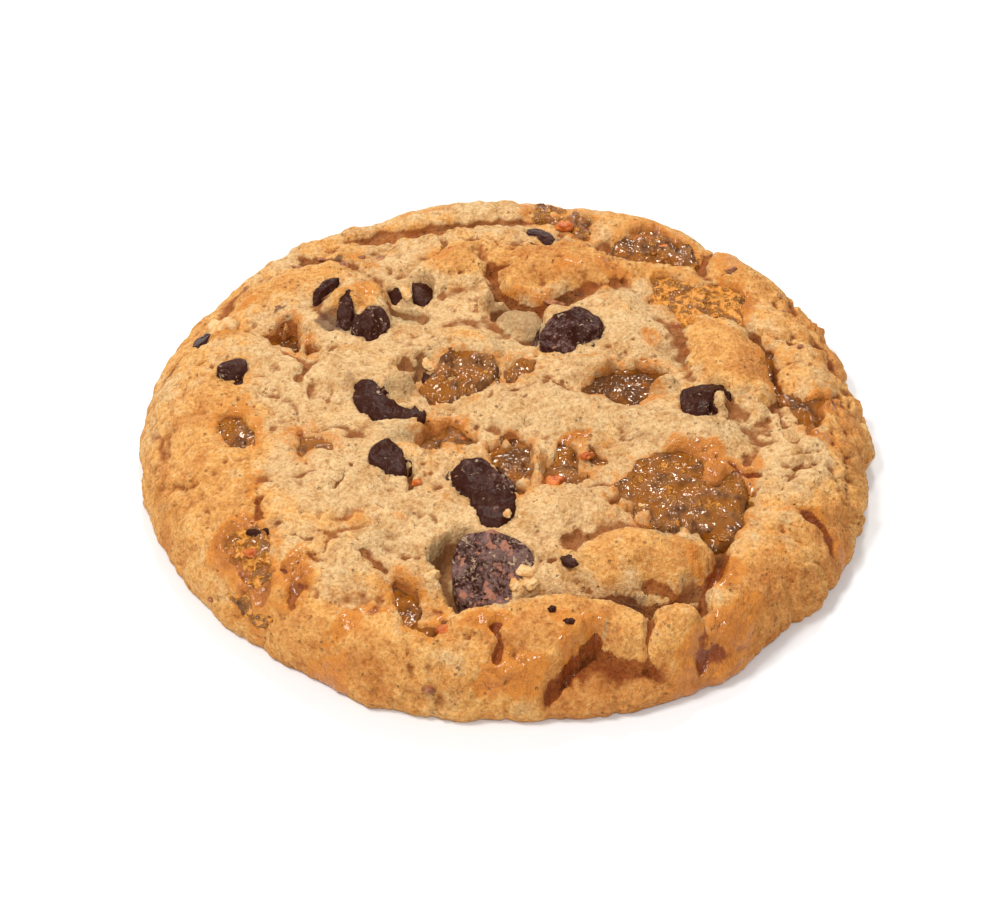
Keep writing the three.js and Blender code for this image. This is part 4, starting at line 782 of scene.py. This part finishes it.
def doughMaterial():
    # Pale to golden to brown by the bake, speckled with crumbs, then stained by toffee, with painted shade in the
    # creases, on the pockets' walls and in the pores, and smeared with cocoa that also paints shade in some cracks
    look = doughFinish
    r = Recipe("Baked dough")
    place = r.place()
    stain, raw, cocoaAndShade, rim, hollow, low, toast, seep = (
        r.field(name) for name in ("stain", "raw", "cocoaAndShade", "rim", "hollow", "low", "toast", "seep")
    )
    patches = r.noise(place, 8, 3, 0.55)
    blotch = r.noise(place, 2.4, 4, 0.6)
    clots = r.noise(place, 1.1, 3, 0.6)
    sand = r.noise(place, 0.5, 3, 0.7)
    fine = r.noise(place, 0.22, 2, 0.6)
    grains = r.cells(place, 0.75)
    pore = r.cells(place, 1.3)
    pores = (0.22 - pore).over(0.0, 0.14) * r.noise(place, 2.5, 1).over(0.52, 0.6)
    bake = rim.over(0.55, 1.0) * 0.7 + toast * 0.9 + (patches - 0.5) * 2.0 + (blotch - 0.5) * 1.6
    base = r.mix(bake.over(0.0, 0.8), look["pale"], look["golden"])
    base = r.mix(bake.over(0.6, 1.5) * 0.75, base, look["brown"])
    mottle = r.noise(place, 4.5, 4, 0.65, 0.5)
    base = r.mix(mottle.over(0.46, 0.64) * 0.75, base, look["mottle"], "MULTIPLY")
    base = r.mix((raw + (blotch - 0.5) * 0.6).over(0.1, 0.9) * 0.8, base, look["raw"])
    base = r.mix(clots.over(0.54, 0.32) * 0.5 + sand.over(0.52, 0.34) * 0.55, base, look["crumbDark"], "MULTIPLY")
    base = r.mix(grains.over(0.4, 0.8) * 0.18, base, look["crumbDark"], "MULTIPLY")
    base = r.mix(sand.over(0.52, 0.7) * (0.36 - bake.over(0.5, 1.5) * 0.22), base, look["crumbLight"], "SCREEN")
    edge = stain * 1.2 + seep * 0.5 + (blotch - 0.5) * 1.6 + (clots - 0.5) * 1.2
    base = r.mix(edge.over(0.2, 0.85) * 0.9, base, look["amber"])
    base = r.mix((edge + (clots - 0.5) * 1.6).over(0.75, 1.5) * 0.55, base, look["deepAmber"])
    # Painted shade in the creases, where the surface lies below its surroundings
    base = r.mix((low + (clots - 0.5) * 0.8).over(0.05, 0.8) * 0.9, base, look["creviceShade"], "MULTIPLY")
    # Painted shade on the pockets' walls by their depth, in deep amber where toffee seeps there
    base = r.mix(hollow.over(0.25, 1.6) * 0.4, base, look["creviceShade"])
    base = r.mix(hollow.over(0.4, 1.6) * seep.over(0.5, 1.0) * 0.75, base, look["deepAmber"])
    # Cocoa smears, which in some cracks are painted shade
    base = r.mix((cocoaAndShade + (clots - 0.5) * 0.6).over(0.35, 0.75) * 0.75, base, look["cocoaAndShade"])
    # Painted shade in the pores' pits, which the bump also sinks
    base = r.mix(pores * 0.5, base, look["creviceShade"])
    glaze = edge.over(0.5, 0.9)
    roughness = look["roughness"] - glaze * look["glazeShine"]
    height = sand * 0.6 + fine * 0.3 + clots * 0.7 - grains * 0.2 - pores
    normal = r.bump(height, look["relief"])
    return r.finish({
        "Base Color": base, "Roughness": roughness, "Normal": normal, "Specular IOR Level": 0.25,
        "Coat Weight": glaze * look["glazeCoat"], "Coat Roughness": 0.1,
        "Subsurface Weight": 0.1, "Subsurface Radius": (1.0, 0.5, 0.2), "Subsurface Scale": mm,
    })


chipFinish = {
    "dark": colour(0.034, 0.0075, 0.0035),
    "bloom": colour(0.07, 0.024, 0.014),
    "dust": colour(0.26, 0.15, 0.13),
    "smear": colour(0.45, 0.30, 0.19),
    "pink": colour(0.42, 0.17, 0.10),
    "roughness": 0.22,
    "relief": 0.3,  # mm
}


def chipMaterial():
    # Dark, with a cloudy bloom, and where a chip is dusty also flour, smears of dough and pinkish spots
    look = chipFinish
    r = Recipe("Dark chocolate")
    place = r.place()
    finish = r.field("finish")
    bloom = r.noise(place, 3.0, 4, 0.65)
    patches = r.noise(place, 1.8, 3, 0.6)
    dust = r.noise(place, 0.5, 3, 0.7)
    base = r.mix(bloom.over(0.45, 0.75) * 0.6, look["dark"], look["bloom"])
    dusted = finish * 0.42 + (bloom - 0.5) * 1.4 + (dust - 0.5) * 1.3
    base = r.mix(dusted.over(0.2, 0.6) * 0.7, base, look["dust"])
    crumbs = finish * 0.1 + patches + (dust - 0.5) * 0.8
    base = r.mix(crumbs.over(0.68, 0.74) * 0.85, base, look["smear"])
    base = r.mix((finish * 0.2 - patches).over(-0.24, -0.19) * 0.75, base, look["pink"])
    roughness = look["roughness"] + bloom.over(0.35, 0.7) * 0.2 + dusted.over(0.2, 0.6) * 0.25
    normal = r.bump(bloom * 0.7 + dust * 0.35 + crumbs.over(0.66, 0.76) * 0.5, look["relief"])
    return r.finish({
        "Base Color": base, "Roughness": roughness, "Normal": normal, "Specular IOR Level": 0.1,
        "Specular Tint": (1.0, 0.8, 0.7, 1.0),
    })


toffeeFinish = {
    "amber": colour(0.28, 0.085, 0.005),
    "milky": colour(0.27, 0.105, 0.028),
    "deep": colour(0.085, 0.022, 0.002),
    "crust": colour(0.76, 0.30, 0.045),
    "roughness": 0.08,
    "relief": 0.9,  # mm
}


def toffeeMaterial():
    # Amber and milky clouds, deep where it is wet and as painted shade at its border, with a granular crust and
    # bubbles
    look = toffeeFinish
    r = Recipe("Melted toffee")
    place = r.place()
    finish = r.field("finish")
    border = r.field("border")
    cloud = r.noise(place, 4.0, 3, 0.6, 0.4)
    clumps = r.noise(place, 2.0, 2, 0.4)
    grit = r.noise(place, 0.8, 2, 0.5)
    base = r.mix(cloud.over(0.42, 0.58), look["amber"], look["milky"])
    # Painted shade: the deep colour also darkens towards each piece's border, and where its finish is low
    wetAndEdgeShade = clumps * 0.5 + cloud * 0.5 - finish * 0.12 + border * 0.12
    base = r.mix(wetAndEdgeShade.over(0.46, 0.66) * 0.85, base, look["deep"])
    crust = (finish * 0.42 + (0.5 - clumps) * 1.4 + (grit - 0.5) * 1.3).over(0.15, 0.5)
    base = r.mix(crust * 0.9, base, look["crust"])
    bubbles = (0.45 - r.cells(place, 0.9)).over(0.0, 0.4) * cloud.over(0.5, 0.6)
    height = clumps * 1.1 + bubbles * 0.3 + crust * grit * 1.2
    normal = r.bump(height, look["relief"])
    roughness = look["roughness"] + crust * 0.2
    return r.finish({
        "Base Color": base, "Roughness": roughness, "Normal": normal, "Specular IOR Level": 0.5,
        "Specular Tint": (1.0, 0.88, 0.72, 1.0),
        "Subsurface Weight": 0.25, "Subsurface Radius": (1.0, 0.4, 0.12), "Subsurface Scale": mm,
    })


crumbFinish = {
    "orange": (colour(0.62, 0.16, 0.02), colour(0.45, 0.09, 0.012)),
    "cream": (colour(0.72, 0.47, 0.21), colour(0.62, 0.30, 0.09)),
    "auburn": (colour(0.24, 0.07, 0.025), colour(0.42, 0.16, 0.055)),
}


def crumbMaterial(name, kind, roughness):
    # Two colours in small clouds
    first, second = crumbFinish[kind]
    r = Recipe(name)
    place = r.place()
    clots = r.noise(place, 1.2, 3, 0.6)
    base = r.mix(clots.over(0.4, 0.62), first, second)
    normal = r.bump(clots + r.noise(place, 0.4, 2) * 0.6, 0.35)
    return r.finish({"Base Color": base, "Roughness": roughness, "Normal": normal, "Specular IOR Level": 0.35})


# How the chips and the toffee are built
cushion = {
    "columns": 144,
    "rings": 70,
    "tuck": 0.9,  # how far a piece runs in under the dough, mm
    "cover": 0.5,  # the least dough over it outside its pocket
}

# Chips: how far the edge lies below the dough round it, how far the middle stands over the edge, the depth
# below, the squareness of the section, its own slope on X and on Y, and how dusty it is
chips = {
    "chip_left_edge": (0.5, 1.5, 2, 2.4, (0, 0), 0.1),
    "chip_oval": (0.6, 1.5, 2, 2.4, (0, 0), 0.15),
    "chip_lobe_left": (1.0, 1.8, 3, 2.4, (0.1, 0), 0.2),
    "chip_lobe_front": (0.7, 2.2, 4, 2.2, (0, 0.1), 0.25),
    "chip_shade": (2.6, 1.6, 3, 2.4, (0, 0), 0.0),
    "chip_back": (0.9, 1.8, 2, 2.2, (0, 0), 0.2),
    "chip_crown": (0.9, 2.2, 4, 2.2, (-0.08, 0.1), 0.55),
    "chip_hook": (1.2, 1.8, 4, 2.4, (0, 0), 0.1),
    "chip_matte": (0.9, 1.4, 3, 2.6, (0, 0), 0.0),
    "chip_tall": (1.1, 1.8, 4, 2.4, (0, 0.1), 0.15),
    "chunk_front": (0.4, 1.2, 6, 5.0, (-0.05, 0.3), 1.0),
    "chip_right_hook": (1.2, 1.8, 3, 2.4, (0, 0), 0.1),
}

# The chunk's own outline, inside its pocket, and the pieces that more than one pocket shows
chunkTop = [(-6.6, -37.6), (-6.6, -35), (-5.2, -33.4), (-2.4, -32.6), (1.2, -33.2), (3.3, -35), (3.2, -37),
            (1.6, -39), (0.4, -40.2), (-1.4, -41), (-4.2, -40.8), (-6, -39.6)]
shownBy = {
    "chip_lobe_front": ["chip_lobe_front", "chip_lobe_front right"],
    "chip_shade": ["chip_shade", "chip_shade left"],
    "chunk_front": ["chunk top"],
}

# Toffee, in the same columns; the last is how much crust it carries, below 0 darker for wet toffee and painted shade
toffee = {
    "toffee_far_left": (0.7, 0.6, 2, 3, (0, 0), 0.4),
    "toffee_far_right": (1.0, 0.6, 2, 3, (0, 0), 0.0),
    "toffee_back_right": (1.2, 0.9, 2.5, 3, (0, 0), 0.95),
    "toffee_middle": (0.9, 1.3, 3, 2.6, (0, 0.1), 0.0),
    "toffee_centre": (0.7, 0.6, 2, 3, (0, 0), 0.1),
    "toffee_right": (2.1, 0.7, 2.5, 4, (0, 0), -1.2),
    "toffee_crease": (2.0, 0.5, 2.5, 4, (0, 0), -0.4),
    "toffee_crevice": (1.9, 0.4, 2.5, 4, (0, 0), -0.1),
    "toffee_beside_chip": (1.9, 0.5, 2.5, 4, (0, 0), -0.2),
    "toffee_pit": (1.9, 0.6, 2.5, 4, (0, 0), 0.0),
    "toffee_pool": (1.0, 0.7, 3, 3, (0, 0), 0.15),
    "toffee_front": (2.2, 0.6, 2.5, 4, (0, 0), -0.5),
    "toffee_dimple": (1.1, 0.5, 2.5, 4, (0, 0), 0.0),
    "toffee_left_pit": (1.3, 0.5, 2.5, 4, (0, 0), 0.0),
    "toffee_left_edge": (0.8, 0.5, 2.5, 3, (0, 0), 0.8),
    # The hollow's low finish paints the shade of its deep hole into the toffee
    "toffee_hollow": (3.4, 0.6, 2.5, 4, (0, 0), -1.2),
}


def band(points):
    # The outline that a rubber band round the points would take, counter-clockwise
    ordered = sorted({tuple(point) for point in points})
    sides = []
    for line in (ordered, ordered[::-1]):
        side = []
        for x, y in line:
            while len(side) > 1 and ((side[-1][0] - side[-2][0]) * (y - side[-2][1])
                                     <= (side[-1][1] - side[-2][1]) * (x - side[-2][0])):
                side.pop()
            side.append((x, y))
        sides += side[:-1]
    return np.array(sides)


def cushionSurface(outlines, edge, rise, depth, power, slope, relief, seed):
    # Rings that shrink from an outline to its middle, on the plane that fits the dough's level round it.
    # Above and below, the height is a share of the thickness: (1 - s^power)^(1 / power) at ring share s
    columns, rings = cushion["columns"], cushion["rings"]
    outline = rounded(band(np.concatenate([np.array(points) for points in outlines])), True, 3)
    centre = (outline.max(0) + outline.min(0)) / 2
    around = np.linspace(0, 2 * math.pi, columns, endpoint=False)
    bearing = np.arctan2(outline[:, 1] - centre[1], outline[:, 0] - centre[0])
    order = np.argsort(bearing)
    length = np.hypot(*(outline - centre).T)[order] + cushion["tuck"]
    reach = np.interp(around, bearing[order] % (2 * math.pi), length, period=2 * math.pi)
    rimX, rimY = centre[0] + reach * np.cos(around), centre[1] + reach * np.sin(around)
    level = levelAt(rimX, rimY)
    ground = np.stack([rimX - centre[0], rimY - centre[1], np.ones(columns)], -1)
    slopeX, slopeY, middle = np.linalg.lstsq(ground, level, rcond=None)[0]
    turn = np.linspace(0, math.pi, rings + 2)[1:-1]
    share = np.sin(turn)
    lift = np.sign(np.cos(turn)) * (1 - share**power) ** (1 / power)
    x = centre[0] + np.outer(share, reach * np.cos(around))
    y = centre[1] + np.outer(share, reach * np.sin(around))
    thickness = np.where(lift > 0, rise, depth) * lift
    z = middle - edge + (slopeX + slope[0]) * (x - centre[0]) + (slopeY + slope[1]) * (y - centre[1])
    z = z + thickness[:, None]
    points = np.concatenate([
        np.stack([x, y, z], -1).reshape(-1, 3),
        [[*centre, middle - edge + rise], [*centre, middle - edge - depth]],
    ])
    for k, (size, strength) in enumerate(relief):
        points[:, 2] += strength * (1 - 2.4 * np.abs(layered(points, size, 2, seed + 5 * k)))
    surface, hollow = doughHeight(points[:, 0], points[:, 1])
    points[:, 2] = np.where(hollow < 0.35, np.minimum(points[:, 2], surface - cushion["cover"]), points[:, 2])
    grid = np.arange(rings * columns).reshape(rings, columns)
    after = np.roll(grid, -1, 1)
    quads = np.stack([grid[:-1], grid[1:], after[1:], after[:-1]], -1).reshape(-1, 4)
    top, bottom = rings * columns, rings * columns + 1
    triangles = np.concatenate([
        np.stack([np.full(columns, top), grid[0], after[0]], -1),
        np.stack([np.full(columns, bottom), after[-1], grid[-1]], -1),
    ])
    return points, quads, triangles, np.append(np.repeat(share, columns), [0, 0])


print("working out the dough")
doughPoints, doughQuads, doughTriangles, doughFields = doughSurface()
low, high = doughPoints[:, :2].min(0), doughPoints[:, :2].max(0)
shift = np.append(-(low + high) / 2, 0)  # brings the middle of the whole to the origin
doughPiece = makePiece("cookieDough", doughPoints + shift, doughQuads, doughTriangles, doughFields, doughMaterial())
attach(doughPiece, "root")
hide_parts("dough")
print("dough:", len(doughQuads) * 2 + len(doughTriangles), "triangles")

pockets = {**chipPockets, **toffeePockets, "chunk top": (chunkTop, 0)}


def addPieces(table, ending, material, slot, relief, seed):
    # A cushion for each row of a table, laid in the pockets that show it
    for number, (name, (*sizes, finish)) in enumerate(table.items()):
        outlines = [pockets[part][0] for part in shownBy.get(name, [name])]
        points, quads, triangles, reach = cushionSurface(outlines, *sizes, relief, seed + 10 * number)
        fields = {"finish": np.full(len(points), finish), "border": smooth(reach, 0.7, 0.95)}
        piece = makePiece(name + ending, points + shift, quads, triangles, fields, material)
        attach(piece, "root")
        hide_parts(name)
    print(slot, len(table), "pieces")


addPieces(chips, "_melted", chipMaterial(), "chocolate", [(3.6, 0.3), (1.2, 0.07)], 100)
addPieces(toffee, "_glossy", toffeeMaterial(), "toffee", [(3.4, 0.4), (1.3, 0.12)], 300)

# Crumbs and bits that lie on the cookie: place, length, width, thickness, turn, lift
orangeCrumbs = [
    (6.8, -19.0, 3.2, 2.8, 2.6, 20, 1.0), (-12.7, -20.1, 1.5, 1.3, 1.1, 0, 0.2),
    (18.5, -20.3, 2.0, 2.4, 1.4, 60, 0.5), (-8.3, -47.3, 2.8, 2.2, 1.8, 30, 0.3),
    (11.6, -14.9, 1.8, 1.3, 1.0, 10, 0.7), (25.4, -13.2, 2.2, 1.2, 0.8, 10, 0.4),
    (24.2, -17.4, 1.2, 1.0, 0.8, 0, 0.5), (-6.6, -9.2, 1.3, 0.9, 0.7, 0, 1.5), (9.4, 43.4, 3.0, 2.0, 1.2, 10, 0.7),
    (25.0, 38.4, 2.6, 1.8, 1.0, -10, 0.6), (31.6, 24.4, 1.8, 1.4, 1.0, 0, 1.0),
    (-36.0, -31.4, 2.4, 1.6, 1.0, 0, 0.5),
]
paleCrumbs = [
    (1.0, -35.9, 2.0, 1.5, 1.2, 30, 1.9), (2.9, -37.0, 2.8, 1.8, 1.6, -20, 2.2),
    (1.2, -38.6, 2.0, 1.6, 1.3, 70, 2.6), (2.2, -34.8, 1.4, 1.0, 0.8, 0, 2.4), (3.6, -38.8, 2.4, 1.8, 1.4, 40, 1.2),
    (0.2, -39.8, 1.4, 1.0, 0.8, 0, 2.8), (-0.6, -25.2, 1.3, 3.4, 0.8, 15, 2.7), (0.2, -27.2, 1.1, 1.6, 0.8, 0, 2.5),
    (27.9, 22.4, 2.4, 1.7, 1.4, 20, 1.5), (-43.0, 17.2, 4.4, 5.0, 3.0, 60, 0.1),
    (-10.2, -38.4, 2.6, 1.7, 1.6, 40, 0.2), (-15.3, 23.2, 1.6, 3.4, 1.2, 10, 1.6),
    (20.6, 1.6, 2.0, 1.2, 1.0, 30, 0.4), (-16.0, -17.6, 2.2, 1.1, 0.8, -30, 1.0),
    (3.2, -40.4, 2.6, 1.6, 1.2, 10, 0.1), (-11.6, 6.4, 1.6, 3.2, 1.2, 20, 0.8), (29.4, 21.2, 1.4, 1.2, 0.9, 0, 1.4),
    (19.4, -24.6, 1.5, 1.1, 0.8, 20, 0.9), (17.2, 3.6, 1.4, 1.0, 0.8, 0, 1.6),
    (27.6, -21.8, 1.3, 1.0, 0.8, 40, 0.9), (-5.2, 1.2, 1.3, 1.0, 0.7, 0, 2.0),
]
auburnBits = [
    (-19.6, 34.5, 1.4, 1.2, 0.6, 0, 0.0), (-22.6, 33.4, 1.3, 1.0, 0.6, 30, 0.0),
    (-28.6, 34.4, 2.6, 0.8, 0.5, -10, 0.0), (-25.2, 30.8, 1.8, 1.6, 1.2, 30, 0.1),
    (-32.4, 31.6, 2.4, 0.7, 0.5, -30, 0.0), (-34.4, 20.6, 1.6, 0.7, 0.5, 0, 0.0),
    (6.8, 23.2, 5.0, 1.0, 0.7, -12, 0.0), (35, 30.7, 1.8, 0.9, 0.6, 30, 0.0), (12.2, 36.0, 2.0, 1.0, 0.8, -30, 0.0),
    (41.9, 27.6, 2.4, 0.8, 0.6, -50, 0.0), (26.2, 28.6, 1.4, 1.0, 0.7, 0, 0.6),
    (44.4, 11.8, 1.2, 0.6, 0.5, 40, 0.0), (-10.4, -54.2, 1.8, 1.4, 0.9, 0, 0.0),
    (-41.8, -34.6, 0.9, 0.9, 0.6, 0, 0.0), (42.6, 22.6, 1.0, 0.8, 0.5, 0, 0.0),
]
darkBits = [
    (8.9, -36.3, 2.0, 2.6, 1.0, 60, 0.0), (6.4, -45.9, 1.2, 1.2, 0.7, 0, 0.0), (8.8, -47.7, 2.0, 1.4, 0.8, 20, 0.0),
    (8.2, -41.4, 5.0, 1.4, 1.2, -14, 1.0), (-34.8, -28.4, 3.6, 2.0, 1.2, 10, 0.0),
    (-11.6, 3.0, 1.6, 4.4, 1.0, 15, 0.3),
]


crumbShape = {
    "columns": 28,
    "rows": 16,
    "lumpiness": 0.32,
}


def scattered(name, table, material, seed):
    # Small balls pressed to size, roughened along their own direction, turned and set on the dough, as one mesh
    columns, rows = crumbShape["columns"], crumbShape["rows"]
    u, v = np.meshgrid(np.linspace(0, 2 * math.pi, columns, endpoint=False), np.linspace(-1.45, 1.45, rows))
    ball = np.stack([np.cos(v) * np.cos(u), np.cos(v) * np.sin(u), np.sin(v)], -1).reshape(-1, 3)
    ball = np.concatenate([ball, [[0, 0, -1], [0, 0, 1]]])
    table = np.array(table, float)
    level = doughHeight(table[:, 0], table[:, 1])[0]
    turn = np.radians(table[:, 5])
    lumps = layered(ball[None] * 1.5 + table[:, None, :3], 1.0, 2, seed)
    points = ball[None] * (1 + crumbShape["lumpiness"] * lumps)[..., None] * table[:, None, 2:5] / 2
    x = points[..., 0] * np.cos(turn)[:, None] - points[..., 1] * np.sin(turn)[:, None]
    y = points[..., 0] * np.sin(turn)[:, None] + points[..., 1] * np.cos(turn)[:, None]
    place = np.stack([table[:, 0], table[:, 1], level + table[:, 6]], -1)
    points = np.stack([x, y, points[..., 2]], -1) + place[:, None]
    grid = np.arange(rows * columns).reshape(rows, columns)
    after = np.roll(grid, -1, 1)
    quads = np.stack([grid[:-1], after[:-1], after[1:], grid[1:]], -1).reshape(-1, 4)
    low, high = rows * columns, rows * columns + 1
    triangles = np.concatenate([
        np.stack([np.full(columns, low), after[0], grid[0]], -1),
        np.stack([np.full(columns, high), grid[-1], after[-1]], -1),
    ])
    step = len(ball) * np.arange(len(table))[:, None, None]
    points = points.reshape(-1, 3) + shift
    quads, triangles = (quads + step).reshape(-1, 4), (triangles + step).reshape(-1, 3)
    piece = makePiece(name, points, quads, triangles, {}, material)
    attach(piece, "root")


scattered("orangeCrumbs", orangeCrumbs, crumbMaterial("Toffee crumbs", "orange", 0.3), 501)
scattered("paleCrumbs", paleCrumbs, crumbMaterial("Dough crumbs", "cream", 0.8), 511)
scattered("auburnBits", auburnBits, crumbMaterial("Reddish bits", "auburn", 0.35), 531)
scattered("darkBits", darkBits, chipMaterial(), 521)
print("crumbs:", len(orangeCrumbs) + len(paleCrumbs) + len(auburnBits) + len(darkBits))

# Floor, light and camera

studio = {
    "aim": (0.0, 0.0, 5.0),  # mm, what the camera stands round
    "distance": 480.0,
    "elevation": 41.0,  # degrees
    "looksAt": (-0.97, -6.15, 5.0),
    "lens": 115.56,
    "floorSize": 3.0,  # m
    "floorShades": (0.8, 0.82),
    "worldStrength": 0.46,
    "keyPlace": (-0.9, -0.2, 1.62),  # m
    "keySize": 0.6,
    "keyPower": 20.0,  # W
    "glintPlace": (0.1, 1.15, 1.2),
    "glintSize": 0.34,
    "glintPower": 13.0,
    "sparklePlace": (0.05, -0.95, 1.25),
    "sparkleSize": 0.25,
    "sparklePower": 8.5,
}


def directionTo(place, target):
    # Turn that points an object's -Z from place to target, with its X level
    x, y, z = target - place
    return (math.atan2(math.hypot(x, y), -z), 0, math.atan2(y, x) - math.pi / 2)


def buildStudio():
    # A pale floor, an even white sky, three lamps and the camera
    scene = bpy.context.scene
    scene.view_settings.view_transform = "Standard"
    half = studio["floorSize"] / 2
    mesh = bpy.data.meshes.new("floor")
    mesh.from_pydata([(-half, -half, 0), (half, -half, 0), (half, half, 0), (-half, half, 0)], [], [(0, 1, 2, 3)])
    r = Recipe("Pale floor")
    shade = r.noise(r.place(), 400, 2).over(0, 1)
    white = r.mix(shade, *(colour(value, value, value) for value in studio["floorShades"]))
    mesh.materials.append(r.finish({"Base Color": white, "Roughness": 0.9, "Specular IOR Level": 0.1}))
    floor = bpy.data.objects.new("floor", mesh)
    scene.collection.objects.link(floor)

    world = bpy.data.worlds.new("studio")
    world.use_nodes = True
    world.node_tree.nodes["Background"].inputs["Color"].default_value = (1, 1, 1, 1)
    world.node_tree.nodes["Background"].inputs["Strength"].default_value = studio["worldStrength"]
    scene.world = world

    for name in ("key", "glint", "sparkle"):
        light = bpy.data.lights.new(name, "AREA")
        light.shape = "DISK"
        light.size = studio[name + "Size"]
        light.energy = studio[name + "Power"]
        lamp = bpy.data.objects.new(name, light)
        scene.collection.objects.link(lamp)
        place = np.array(studio[name + "Place"])
        lamp.location = place
        lamp.rotation_euler = directionTo(place, np.zeros(3))

    camera = bpy.data.cameras.new("camera")
    camera.lens = studio["lens"]
    camera.sensor_width = 36.0
    camera.clip_start, camera.clip_end = 0.01, 10
    eye = bpy.data.objects.new("camera", camera)
    scene.collection.objects.link(eye)
    rise = math.radians(studio["elevation"])
    back = np.array([0, -math.cos(rise), math.sin(rise)])
    place = (np.array(studio["aim"]) + back * studio["distance"]) * mm
    eye.location = place
    eye.rotation_euler = directionTo(place, np.array(studio["looksAt"]) * mm)
    scene.camera = eye


buildStudio()
print("studio set up")
